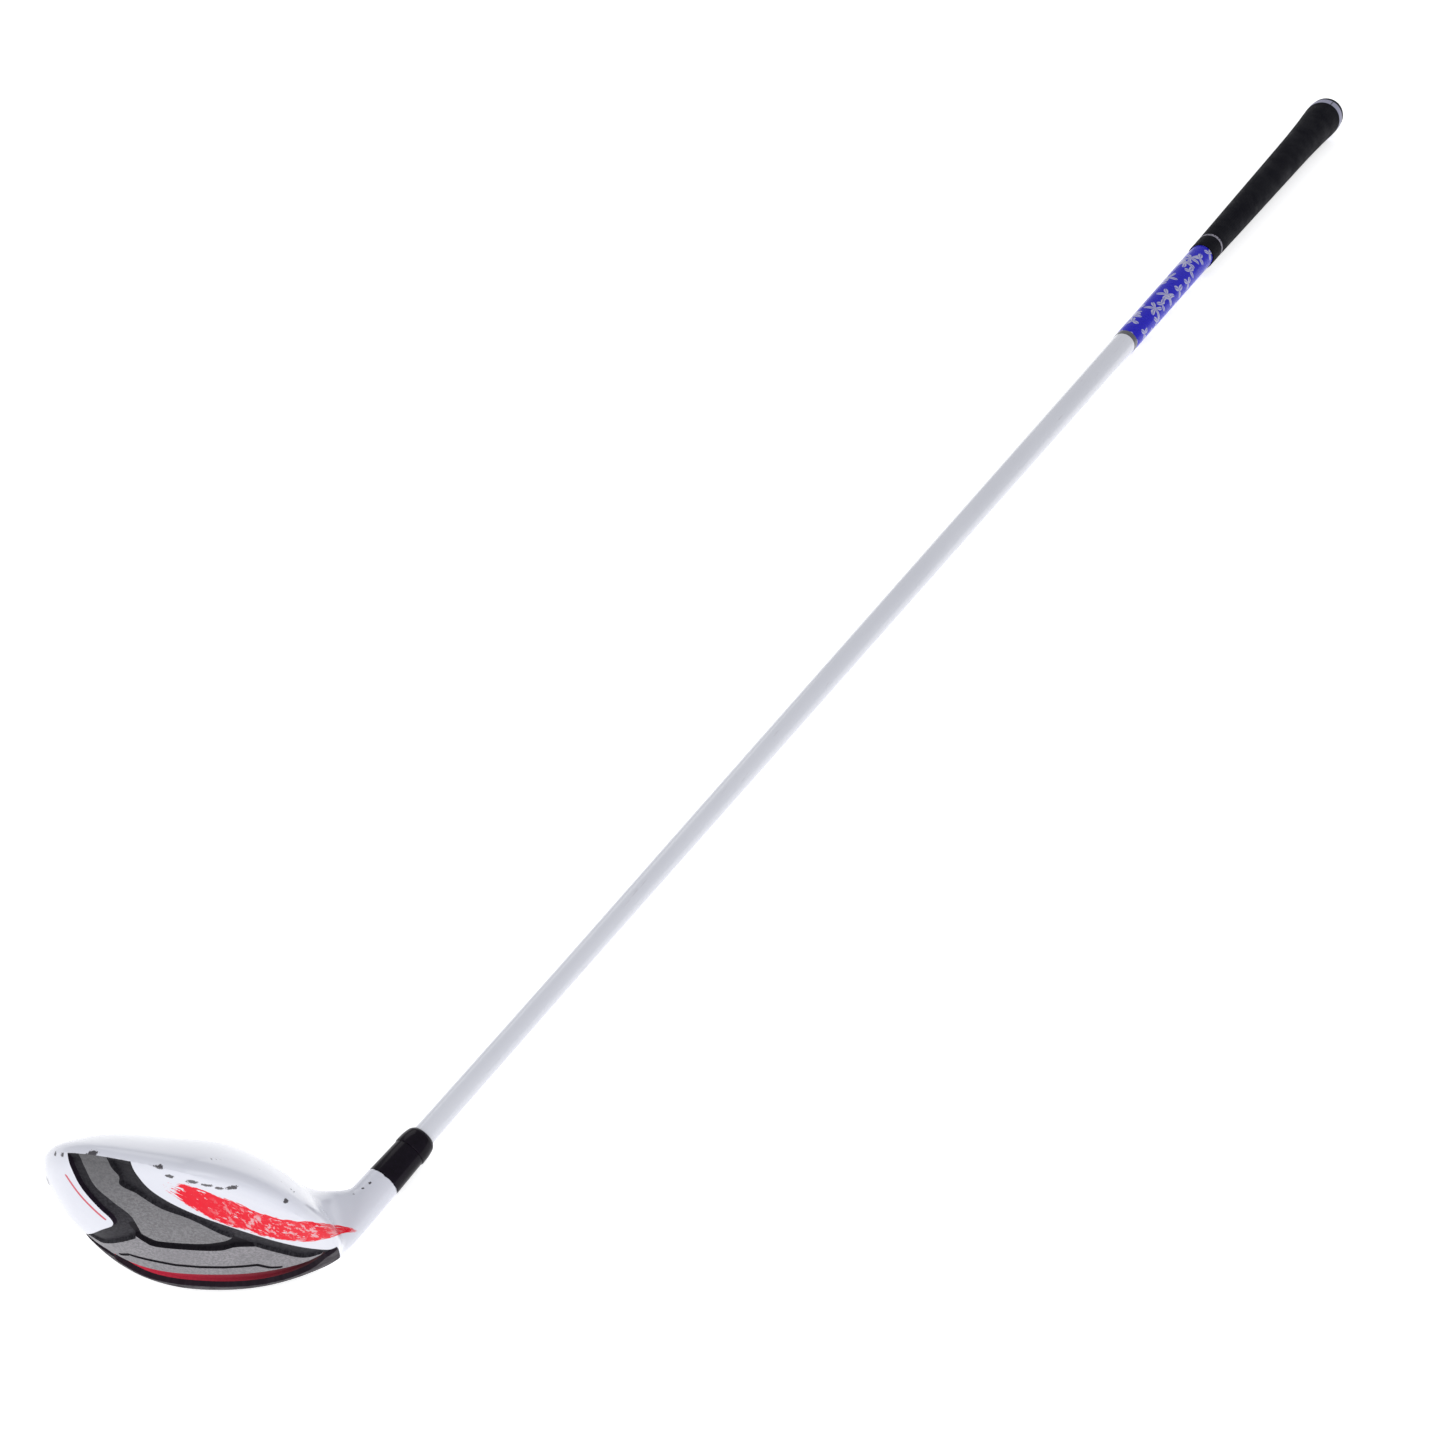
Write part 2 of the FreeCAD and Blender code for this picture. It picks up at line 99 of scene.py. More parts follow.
HOSEL_R, HOSEL_TOP = 6.0, 47.9
HOSEL_ROOT, HOSEL_ROOT_BLEND = 20.0, 8.0
HOSEL_SLOPE = 0.98  # steepness that turns the taper's radial distance into a true one
HEEL_BLEND, NECK_BLEND = 7.0, 16.0


def plan_radius(p):
    dx, dy = p[:, 0] - PLAN_X, p[:, 1] - PLAN_Y
    half_x = np.where(dx > 0, HALF_TOE, HALF_HEEL)
    half_y = np.where(dy > 0, HALF_REAR, HALF_FRONT)
    power = np.where(dy > 0, REAR_POWER, FRONT_POWER)
    return (np.abs(dx / half_x) ** power + np.abs(dy / half_y) ** power + 1e-9) ** (1 / power)


def rim_height(p):
    return RIM_MIDDLE + RIM_TO_TOE * (p[:, 0] - PLAN_X) + RIM_TO_REAR * (p[:, 1] - PLAN_Y)


def above_rim(p):
    return p[:, 2] - rim_height(p)


def crown_field(p):
    """Below zero under the crown, which is fuller at the heel."""
    lift = above_rim(p) / (CROWN_HEIGHT + CROWN_HEEL_LIFT * eased(p[:, 0], 40, 14))
    return plan_radius(p) ** CROWN_POWER + np.sign(lift) * np.abs(lift) ** (4 / 3) - 1


def sole_field(p):
    """Below zero above the sole, which is rounder at the toe's front."""
    power = SOLE_POWER - SOLE_TOE_CORNER * eased(p[:, 0], 30, 60) * eased(p[:, 1], 34, 14)
    return plan_radius(p) ** power - p[:, 2] / np.maximum(rim_height(p), SOLE_LEAST)


def distance(field, p):
    """A field divided by its own steepness, so that it reads in millimetres."""
    slope = gradient(field, p)
    return field(p) / np.maximum(np.linalg.norm(slope, axis=1), 1e-6)


def gradient(field, p, step=0.02):
    moves = np.eye(3) * step
    return np.stack([(field(p + move) - field(p - move)) / (2 * step) for move in moves], axis=1)


def face_distance(p):
    centre = FACE_LEAD + FACE_UP * FACE_MIDDLE + FACE_IN * FACE_R
    return np.linalg.norm(p - centre, axis=1) - FACE_R


def shaft_place(p):
    """Distance along the shaft axis, and away from it."""
    along = p @ SHAFT
    return along, np.linalg.norm(p - along[:, None] * SHAFT, axis=1)


def eased(value, low, high):
    """A smooth step from 0 at low to 1 at high, which may be the smaller one."""
    share = np.clip((value - low) / (high - low), 0, 1)
    return share * share * (3 - 2 * share)


def hosel_radius(along):
    """6.0 at the root, 6.7 at the waist and 6.4 at the top."""
    return HOSEL_R + 0.7 * eased(along, 17.5, 27) - 0.3 * eased(along, 32, HOSEL_TOP)


def hosel_distance(p):
    along, away = shaft_place(p)
    side = (away - hosel_radius(along)) * HOSEL_SLOPE
    return soft_max(soft_max(side, along - HOSEL_TOP, 0.5), HOSEL_ROOT - along, HOSEL_ROOT_BLEND)


def soft_max(a, b, reach):
    """The larger value, with a round transition where the two are within reach of each other."""
    near = np.maximum(reach - np.abs(a - b), 0) / reach
    return np.maximum(a, b) + near * near * reach / 4


def shell_distance(p):
    return soft_max(distance(crown_field, p), distance(sole_field, p), RIM_BLEND)


def head_distance(p):
    """Below zero inside the head."""
    block = soft_max(shell_distance(p), face_distance(p), FACE_BLEND)
    # The blend to the hosel widens on the crown's side, behind the face, and ends below the hosel's top.
    neck = eased(p @ ACROSS, -5, 6) * eased(p[:, 1], -8, 4) * eased(shaft_place(p)[0], 46, 32)
    blend = HEEL_BLEND + NECK_BLEND * neck
    return -soft_max(-block, -hosel_distance(p), blend)


def face_share(p):
    """Above zero where the face is the outermost surface, and off the hosel."""
    away = shaft_place(p)[1] - FACE_CLEAR
    return np.minimum(face_distance(p) - shell_distance(p), away)


# ---------------------------------------------------------------- sole outlines, plan of the club frame

FAR_OFF, UNPAINTED = 5.0, 9.0  # distances that no score line and no paint reaches


def smooth(points, steps=6):
    """A Catmull-Rom curve through the points."""
    p = np.array(points, float)
    p = np.vstack([2 * p[0] - p[1], p, 2 * p[-1] - p[-2]])
    out = []
    for a, b, c, d in zip(p, p[1:], p[2:], p[3:]):
        for t in np.arange(steps) / steps:
            out.append(0.5 * (2 * b + (c - a) * t + (2 * a - 5 * b + 4 * c - d) * t ** 2
                              + (3 * b - a - 3 * c + d) * t ** 3))
    return np.vstack(out + [p[-2]])


def outline(*runs):
    """A closed outline made of smooth runs that meet at corners."""
    return np.vstack([smooth(run) if len(run) > 2 else np.array(run, float) for run in runs])


def segment_distance(xy, points, closed):
    """Distance to a run of straight segments."""
    ends = np.roll(points, -1, axis=0) if closed else points[1:]
    starts = points if closed else points[:-1]
    best = np.full(len(xy), 1e9)
    for a, b in zip(starts, ends):
        edge = b - a
        size = edge @ edge
        if size < 1e-12:
            continue
        share = np.clip((xy - a) @ edge / size, 0, 1)
        best = np.minimum(best, np.linalg.norm(xy - a - share[:, None] * edge, axis=1))
    return best


def inside_distance(xy, points):
    """Signed distance to a closed outline, above zero inside it."""
    inside = np.zeros(len(xy), bool)
    for a, b in zip(points, np.roll(points, -1, axis=0)):
        if a[1] == b[1]:
            continue
        spans = (a[1] > xy[:, 1]) != (b[1] > xy[:, 1])
        inside ^= spans & (xy[:, 0] < (b[0] - a[0]) * (xy[:, 1] - a[1]) / (b[1] - a[1]) + a[0])
    return np.where(inside, 1, -1) * segment_distance(xy, points, True)


HEEL_BORDER = [(-32, 7), (-19, 14), (-14, 19), (-4, 29), (6, 38), (17, 46.5), (24.5, 53), (29.5, 59),
               (32, 65.5), (34, 76)]
TOE_BORDER = [(58, 76), (55, 63.5), (53, 55.5), (48.5, 47.2), (46, 43), (46.3, 39.5), (51.5, 35.5),
              (61.5, 26.5), (86, 8)]
GREY_AREA = outline(HEEL_BORDER, TOE_BORDER, [(86, -30), (-32, -30)])
PANEL_FRONT = [(10, 32.8), (13.5, 31), (21, 29.8), (32.5, 31), (35.5, 32.4), (38.2, 35.4)]
BAR_REAR = [(4, 27), (10.2, 27.4), (15.5, 25.6), (25, 26), (35.6, 27.8), (38.4, 30.4), (40.6, 34)]
CENTRE_PANEL = outline(
    [(54, 76), (50.2, 64.8), (48.2, 57), (44, 51.5), (39.5, 45.5), (38.4, 40), (38.2, 35.4)],
    PANEL_FRONT[::-1],
    [(12.8, 35.2), (20.5, 43.8), (28.6, 49.2), (34.8, 56)],
    [(34.8, 56), (39.2, 59), (38.6, 62.8), (40.5, 67), (42, 76)])
GROOVE = outline(
    PANEL_FRONT,
    [(38.3, 40), (41.5, 40), (40.6, 34)],
    BAR_REAR[::-1])
FRONT_BAR = outline(
    [(-13.8, 13.8), (-8.6, 14.4), (-2.4, 20.8), (4, 27)],
    BAR_REAR,
    [(40.8, 32.4), (55, 24.6)],
    [(59.5, 26.4), (86, 9)],
    [(86, 6), (60, 18.5), (52.4, 17)],
    [(52.2, 17.8), (43, 13.8), (32.5, 10.9), (18, 10.1), (3.4, 10.3), (-7.6, 10.9), (-13.8, 13.4)])
SLOT_FRONT = [(52.9, 13.8), (44.6, 6.5), (34, 3.4), (18, 1.2), (4, 0.8), (-7, 3.8), (-14.4, 11.2)]
SLOT = outline(
    [(-14.2, 12.8), (-7.6, 10.8), (3.4, 10.2), (18, 10), (32.5, 10.8), (43, 13.7), (52.8, 17.9)],
    SLOT_FRONT)
FRONT_LIP = outline(
    [(86, 3), (62, 17), (53, 16.8)],
    SLOT_FRONT,
    [(-32, 20), (-32, -30), (86, -30)])
STEPPED_LINE = np.array([(49.8, 19.8), (46.4, 21.4), (38.2, 18.6), (32.2, 16.4), (24.4, 15.2), (16.4, 15),
                         (6, 15.4), (2.4, 12.4), (-0.5, 11.6)], float)
# The brush stroke is laid on from behind and below: rows are to the heel, up, and towards the painter.
DECAL = np.array([(-0.952, -0.306, 0.0), (-0.144, 0.448, 0.883), (-0.270, 0.840, -0.470)])
STROKE = smooth([(-42.5, 26.6), (-34, 24.7), (-24.5, 22.2), (-14.8, 20.2), (-4.9, 19.2), (4.7, 20),
                 (13.7, 22), (18.5, 22.3)])
END_RUN = 4.0  # the stroke's first and last segments also run on outwards by this many lengths
STROKE_HALF = smooth([(0, 1.3), (1, 2.7), (2, 3.5), (3, 3.2), (4, 3.05), (5, 2.9), (6, 1.2), (7, 0.4)])[:, 1]
TOE_LINE = smooth([(57.6, 57.5), (54.4, 51.6), (51.2, 46.8), (48, 42.2)])
LINE_HALF_WIDTH = 0.75
SCORE_STARTS = 7.0 + 4.2 * np.arange(5)  # up the face
SCORE_HALF_LENGTH, SCORE_HALF_WIDTH = 23.0, 0.4
SCORE_REACH = 1.5  # only the surface this near to the face can be scored


def score_distance(p):
    """Signed distance to the five score lines of the face, above zero inside them."""
    up = (p - FACE_LEAD) @ FACE_UP
    over_end = np.abs(p[:, 0] - PLAN_X) - SCORE_HALF_LENGTH
    off_line = np.min([np.abs(up - start) - SCORE_HALF_WIDTH for start in SCORE_STARTS], axis=0)
    off_line = np.where(face_distance(p) > -SCORE_REACH, off_line, FAR_OFF)
    return -np.maximum(off_line, over_end)


def plan_field(points):
    return lambda p: inside_distance(p[:, :2], points)


def line_distance(p):
    return LINE_HALF_WIDTH - segment_distance(p[:, :2], STEPPED_LINE, False)


def ramp(value, low, high):
    """A straight step from 0 at low to 1 at high."""
    return np.clip((value - low) / (high - low), 0, 1)


FIELDS = {
    "grey": plan_field(GREY_AREA), "panel": plan_field(CENTRE_PANEL), "groove": plan_field(GROOVE),
    "bar": plan_field(FRONT_BAR), "slot": plan_field(SLOT), "lip": plan_field(FRONT_LIP),
    "line": line_distance, "rim": above_rim, "face": face_share, "score": score_distance,
}
# Widths of the slopes between the levels of the relief.
RIM_FADE, GREY_SLOPE, LIP_SLOPE, PLATE_SLOPE = 1.5, 0.8, 0.35, 0.6
SLOT_SLOPE, LINE_SLOPE, SCORE_SLOPE = 0.45, 0.2, 0.15
FACET_WIDTH = 8.0  # the dark facets slope down from the border over this width
# Depths of the relief.
GREY_DEPTH, FACET_DEPTH, FACET_FALL, LINE_DEPTH, SCORE_DEPTH = 0.55, 0.45, 0.09, 0.3, 0.35
SLOT_DEPTH, SLOT_FALL, SLOT_WIDTH = 0.4, 1.2, 5
# Levels where the mesh is cut, so that every edge of the relief lies on mesh edges.
CUTS = [("rim", 0.0), ("rim", -RIM_FADE), ("face", 0.0), ("grey", 0.0), ("grey", GREY_SLOPE),
        ("grey", FACET_WIDTH), ("lip", 0.0), ("lip", LIP_SLOPE), ("panel", -PLATE_SLOPE), ("panel", 0.0),
        ("bar", -PLATE_SLOPE), ("bar", 0.0), ("groove", 0.0), ("slot", 0.0), ("slot", SLOT_SLOPE),
        ("line", 0.0), ("line", LINE_SLOPE), ("score", 0.0), ("score", SCORE_SLOPE)]
SOLE_ONLY = {"grey", "panel", "groove", "bar", "slot", "lip", "line"}


def relief(p):
    """How deep the surface is sunk below the smooth head."""
    at = {name: FIELDS[name](p) for name in FIELDS}
    raised = np.maximum(ramp(at["panel"], -PLATE_SLOPE, 0), ramp(at["bar"], -PLATE_SLOPE, 0))
    sunk = ramp(at["grey"], 0, GREY_SLOPE) * (1 - ramp(at["lip"], 0, LIP_SLOPE))
    facet = FACET_DEPTH + FACET_FALL * np.clip(at["grey"], 0, FACET_WIDTH)
    depth = sunk * (GREY_DEPTH + (1 - raised) * facet)
    depth += LINE_DEPTH * ramp(at["line"], 0, LINE_SLOPE)
    depth += ramp(at["slot"], 0, SLOT_SLOPE) * (SLOT_DEPTH + SLOT_FALL * ramp(-at["lip"], 0, SLOT_WIDTH))
    depth *= ramp(-at["rim"], 0, RIM_FADE)
    return depth + SCORE_DEPTH * ramp(at["score"], 0, SCORE_SLOPE)


# ---------------------------------------------------------------- head mesh

FULL_STEP, QUICK_STEP = 1.3, 2.0  # cells of the net, mm
NET_LOW, NET_HIGH = (-37.0, -20.0, -4.0), (80.0, 76.0, 48.0)
SLIDE, LEAST_SLOPE = 0.6, 0.05
BORE_R, BORE_FLOOR = 4.6, 46  # the hosel's open mouth: its radius, and how far down it reaches


def surface_net(low, high, step):
    """Quads around the zero level of the head's distance, one vertex in each crossed cell."""
    axes = [np.arange(a, b, step) for a, b in zip(low, high)]
    grid = np.stack(np.meshgrid(*axes, indexing="ij"), axis=-1)
    shape = grid.shape[:3]
    inside = head_distance(grid.reshape(-1, 3)).reshape(shape) < 0
    cells = tuple(n - 1 for n in shape)
    count = np.zeros(cells, int)
    for i in (0, 1):
        for j in (0, 1):
            for k in (0, 1):
                count += inside[i:i + cells[0], j:j + cells[1], k:k + cells[2]]
    active = (count > 0) & (count < 8)
    index = np.full(cells, -1)
    index[active] = np.arange(active.sum())
    points = grid[:-1, :-1, :-1][active] + step / 2
    quads = []
    for axis in range(3):
        ahead = np.roll(inside, -1, axis=axis)
        crossed = inside != ahead
        where = np.argwhere(crossed)
        where = where[(where > 0).all(axis=1) & (where < np.array(cells)).all(axis=1)]
        b, c = (axis + 1) % 3, (axis + 2) % 3
        corners = []
        for db, dc in ((0, 0), (-1, 0), (-1, -1), (0, -1)):
            cell = where.copy()
            cell[:, b] += db
            cell[:, c] += dc
            corners.append(index[tuple(cell.T)])
        quad = np.stack(corners, axis=1)
        outward = inside[tuple(where.T)]
        quad[~outward] = quad[~outward][:, ::-1]
        quads.append(quad)
    return points, np.vstack(quads)


def onto_head(p, rounds):
    """Moves points onto the head's surface by Newton steps, which LEAST_SLOPE keeps short."""
    for _ in range(rounds):
        slope = gradient(head_distance, p)
        p = p - slope * (head_distance(p) / np.maximum((slope ** 2).sum(axis=1), LEAST_SLOPE))[:, None]
    return p


def relaxed(p, quads, rounds):
    """Evens out the mesh by sliding its vertices towards their neighbours' mean."""
    pairs = np.vstack([quads[:, [i, (i + 1) % 4]] for i in range(4)])
    for _ in range(rounds):
        total, number = np.zeros_like(p), np.zeros(len(p))
        for a, b in ((0, 1), (1, 0)):
            for axis in range(3):
                total[:, axis] += np.bincount(pairs[:, a], p[pairs[:, b], axis], len(p))
            number += np.bincount(pairs[:, a], minlength=len(p))
        p = onto_head(p + SLIDE * (total / number[:, None] - p), 1)
    return p


def subdivided(p, quads):
    """Splits each quad into four."""
    pairs = np.sort(np.stack([quads, np.roll(quads, -1, axis=1)], axis=2).reshape(-1, 2), axis=1)
    edges, inverse = np.unique(pairs, axis=0, return_inverse=True)
    middle = len(p) + inverse.reshape(-1, 4)
    centre = len(p) + len(edges) + np.arange(len(quads))
    points = np.vstack([p, p[edges].mean(axis=1), p[quads].mean(axis=1)])
    parts = [np.stack([quads[:, i], middle[:, i], centre, middle[:, i - 1]], axis=1) for i in range(4)]
    return points, np.vstack(parts)


def triangles_of(p, quads):
    """Splits each quad along its shorter diagonal."""
    first = np.linalg.norm(p[quads[:, 0]] - p[quads[:, 2]], axis=1)
    second = np.linalg.norm(p[quads[:, 1]] - p[quads[:, 3]], axis=1)
    turned = np.where((first > second)[:, None], np.roll(quads, -1, axis=1), quads)
    return np.vstack([turned[:, [0, 1, 2]], turned[:, [0, 2, 3]]])


def cut(p, tris, value):
    """Splits triangles along the zero level of a value given at the vertices."""
    value = np.where(np.abs(value) < 1e-3, 1e-3, value)
    above = value > 0
    count = above[tris].sum(axis=1)
    mixed = (count == 1) | (count == 2)
    if not mixed.any():
        return p, tris
    t, n = tris[mixed], count[mixed]
    lone = np.argmax(above[t] == (n == 1)[:, None], axis=1)
    rows = np.arange(len(t))
    a, b, c = (t[rows, (lone + i) % 3] for i in range(3))
    pairs = np.sort(np.vstack([np.stack([a, b], 1), np.stack([a, c], 1)]), axis=1)
    edges, inverse = np.unique(pairs, axis=0, return_inverse=True)
    share = value[edges[:, 0]] / (value[edges[:, 0]] - value[edges[:, 1]])
    fresh = p[edges[:, 0]] + share[:, None] * (p[edges[:, 1]] - p[edges[:, 0]])
    inverse = inverse.reshape(-1) + len(p)
    ab, ac = inverse[:len(t)], inverse[len(t):]
    parts = [tris[~mixed], np.stack([a, ab, ac], 1), np.stack([ab, b, c], 1), np.stack([ab, c, ac], 1)]
    return np.vstack([p, fresh]), np.vstack(parts)


def head_mesh():
    p, quads = surface_net(NET_LOW, NET_HIGH, FULL_STEP)
    p = relaxed(onto_head(p, 3), quads, 4)
    p, quads = subdivided(p, quads)
    p = relaxed(p, quads, 1)
    tris = triangles_of(p, quads)
    for name, level in CUTS:
        value = FIELDS[name](p) - level
        if name in SOLE_ONLY:  # these outlines don't cut the crown
            value = np.where(above_rim(p) > 0.5, -1.0, value)
        p, tris = cut(p, tris, value)
    along, away = shaft_place(p)
    p, tris = cut(p, tris, np.where(along > BORE_FLOOR - 2, BORE_R - away, -1.0))
    middle = p[tris].mean(axis=1)
    along, away = shaft_place(middle)
    return p, tris[~((along > BORE_FLOOR) & (away < BORE_R))]


def share_of_stroke(xy):
    """Place along the painted stroke, 0 to 1, and signed distance across it over its half width."""
    best, along, across = np.full(len(xy), 1e9), np.zeros(len(xy)), np.zeros(len(xy))
    count = len(STROKE) - 1
    for i, (a, b) in enumerate(zip(STROKE, STROKE[1:])):
        edge = b - a
        share = (xy - a) @ edge / (edge @ edge)
        low = -END_RUN if i == 0 else 0.0
        high = END_RUN if i == count - 1 else 1.0
        share = np.clip(share, low, high)
        off = xy - a - share[:, None] * edge
        far = np.linalg.norm(off, axis=1)
        near = far < best
        best[near] = far[near]
        along[near] = (i + share[near]) / count
        side = np.sign(edge[0] * off[:, 1] - edge[1] * off[:, 0])
        across[near] = (side * far)[near]
    half = np.interp(along, np.arange(count + 1) / count, STROKE_HALF)
    return along, across / half


# ---------------------------------------------------------------- mesh objects

def add_mesh(name, points, faces, materials, indices=None, normals=None, values=None, uv=None):
    """A mesh object in the row frame. points are in the row frame, in metres."""
    mesh = bpy.data.meshes.new(name)
    mesh.from_pydata(points.tolist(), [], faces.tolist())
    for material in materials:
        mesh.materials.append(material)
    if indices is not None:
        mesh.polygons.foreach_set("material_index", np.asarray(indices, np.int32))
    mesh.polygons.foreach_set("use_smooth", np.ones(len(mesh.polygons), bool))
    for key, data in (values or {}).items():
        kind = "FLOAT_VECTOR" if data.ndim == 2 else "FLOAT"
        layer = mesh.attributes.new(key, kind, "POINT")
        layer.data.foreach_set("vector" if data.ndim == 2 else "value", data.astype(np.float32).ravel())
    if uv is not None:
        mesh.uv_layers.new(name="turn").data.foreach_set("uv", uv.astype(np.float32).ravel())
    mesh.update()
    if normals is not None:
        mesh.normals_split_custom_set(normals.tolist())
    piece = bpy.data.objects.new(name, mesh)
    bpy.context.scene.collection.objects.link(piece)
    return piece


def finish_piece(piece, slot, *nodes):
    """Ties a piece to the one body and hides the CAD nodes that it stands for. The slot is not used."""
    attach(piece, "root")
    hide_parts(*nodes)


def head_piece(name, head, chosen, wall, materials, indices):
    """Part of the head's surface, thickened inwards into a closed shell."""
    tris = head["tris"][chosen]
    used, tris = np.unique(tris, return_inverse=True)
    tris = tris.reshape(-1, 3)
    p, normal, depth = head["points"][used], head["normals"][used], head["depth"][used]
    outer = p - normal * depth[:, None]
    inner = p - normal * (depth + wall)[:, None]
    count = len(used)
    sides = np.vstack([tris[:, [i, (i + 1) % 3]] for i in range(3)])
    keys = sides[:, 0].astype(np.int64) * count + sides[:, 1]
    back = sides[:, 1].astype(np.int64) * count + sides[:, 0]
    edge = sides[~np.isin(keys, back)]
    rim_a = np.stack([edge[:, 1], edge[:, 0], edge[:, 0] + count], 1)
    rim_b = np.stack([edge[:, 1], edge[:, 0] + count, edge[:, 1] + count], 1)
    faces = np.vstack([tris, tris[:, ::-1] + count, rim_a, rim_b])
    points = np.vstack([outer, inner])
    flat = np.cross(points[faces[:, 1]] - points[faces[:, 0]], points[faces[:, 2]] - points[faces[:, 0]])
    flat /= np.maximum(np.linalg.norm(flat, axis=1), 1e-12)[:, None]
    corner = np.repeat(flat[:, None, :], 3, axis=1)
    tilted = normal[tris] + head["tilt"][chosen][:, None, :]
    corner[:len(tris)] = tilted / np.linalg.norm(tilted, axis=2, keepdims=True)
    corner[len(tris):2 * len(tris)] = -normal[tris[:, ::-1]]
    whole = np.concatenate([indices, indices, np.zeros(2 * len(edge), int)])
    values = {key: np.concatenate([data[used], data[used]]) for key, data in head["values"].items()}
    corner = corner.reshape(-1, 3) @ TURN.T
    return add_mesh(name, to_row(points), faces, materials, whole, corner, values)


CROWN_CLEAR = 9.4  # the crown shell stops this far from the shaft axis
BODY_WALL, FACE_WALL, THIN_WALL = 0.9, 1.2, 0.7


def head_data():
    """The head's mesh with all that its pieces share."""
    p, tris = head_mesh()
    middle = p[tris].mean(axis=1)
    normals = gradient(head_distance, p)
    normals /= np.linalg.norm(normals, axis=1)[:, None]
    tilt = gradient(relief, middle, 0.01)
    at_middle = gradient(head_distance, middle)
    at_middle /= np.linalg.norm(at_middle, axis=1)[:, None]
    tilt -= (tilt * at_middle).sum(axis=1)[:, None] * at_middle
    along, across = share_of_stroke(p @ DECAL[:2].T)
    across = np.where(normals @ DECAL[2] < 0.02, UNPAINTED, across)
    toe_line = np.where(normals[:, 2] > 0, UNPAINTED, segment_distance(p[:, :2], TOE_LINE, False))
    values = {"mm": p, "stroke": np.stack([along, across, np.zeros(len(p))], 1), "toe_line": toe_line}
    at = {name: FIELDS[name](middle) for name in FIELDS}
    at["hosel"] = shaft_place(middle)[1] - CROWN_CLEAR
    return {"points": p, "tris": tris, "normals": normals, "depth": relief(p), "tilt": tilt,
            "values": values, "at": at}


def make_head(paint):
    head = head_data()
    at = head["at"]
    sole = at["rim"] < 0
    face = (at["face"] > 0) | (sole & (at["lip"] > 0) & (at["slot"] < 0))
    grey = sole & (at["grey"] > 0) & ~face
    slot = grey & (at["slot"] > 0)
    bar = grey & ~slot & (at["bar"] > 0)
    panel = grey & ~slot & ~bar & (at["panel"] > 0)
    crown = ~face & ~sole & (at["hosel"] > 0)
    body = ~(face | slot | bar | panel | crown)
    groove = grey & (at["groove"] > 0)
    score = at["score"] > 0
    line = at["line"] > 0
    edge = at["grey"] < GREY_SLOPE

    def piece(name, chosen, wall, materials, indices, slot_name, *nodes):
        made = head_piece(name, head, chosen, wall, materials, indices[chosen])
        finish_piece(made, slot_name, *nodes)

    none = np.zeros(len(sole), int)
    # Index 2 is the grey area's border wall and 1 the rest of the sunk grey, both dark greys of painted
    # shade; 3 is the groove.
    inlay = np.where(grey & edge, 2, np.where(groove, 3, np.where(grey, 1, 0)))
    piece("painted_body", body, BODY_WALL, [paint["white"], paint["facet"], paint["edge"], paint["groove"]],
          inlay, "white_paint", "head_body")
    piece("painted_crown", crown, THIN_WALL, [paint["white"]], none, "white_paint", "crown_shell")
    piece("cup_face_plate", face, FACE_WALL, [paint["face"], paint["groove"]], np.where(score, 1, 0),
          "face_paint", "cup_face")
    piece("slot_filler", slot, THIN_WALL, [paint["red"]], none, "red_insert", "slot_insert")
    piece("front_bar_plate", bar, THIN_WALL, [paint["bar"], paint["groove"]], np.where(line, 1, 0),
          "sole_grey", "sole_front_bar")
    piece("centre_panel_plate", panel, THIN_WALL, [paint["grey"]], none, "sole_grey", "sole_centre_panel")


# ---------------------------------------------------------------- turned pieces

def rounded(profile):
    """Rounds the corners of a closed profile of (along, radius, corner radius)."""
    out = []
    count = len(profile)
    for i, (along, radius, bend) in enumerate(profile):
        here = np.array([along, radius], float)
        if bend <= 0:
            out.append(here)
            continue
        before = np.array(profile[i - 1][:2], float) - here
        after = np.array(profile[(i + 1) % count][:2], float) - here
        back, ahead = np.linalg.norm(before), np.linalg.norm(after)
        reach = min(bend, 0.49 * back, 0.49 * ahead)
        first, last = here + before / back * reach, here + after / ahead * reach
        for t in np.linspace(0, 1, 6):
            out.append(first * (1 - t) ** 2 + here * 2 * t * (1 - t) + last * t ** 2)
    return np.array(out)


def stretched(profile, longest):
    """Adds points so that no span is longer than this."""
    out = []
    for a, b in zip(profile, np.roll(profile, -1, axis=0)):
        steps = max(1, int(np.ceil(np.linalg.norm(b - a) / longest)))
        out += [a + (b - a) * k / steps for k in range(steps)]
    return np.array(out)


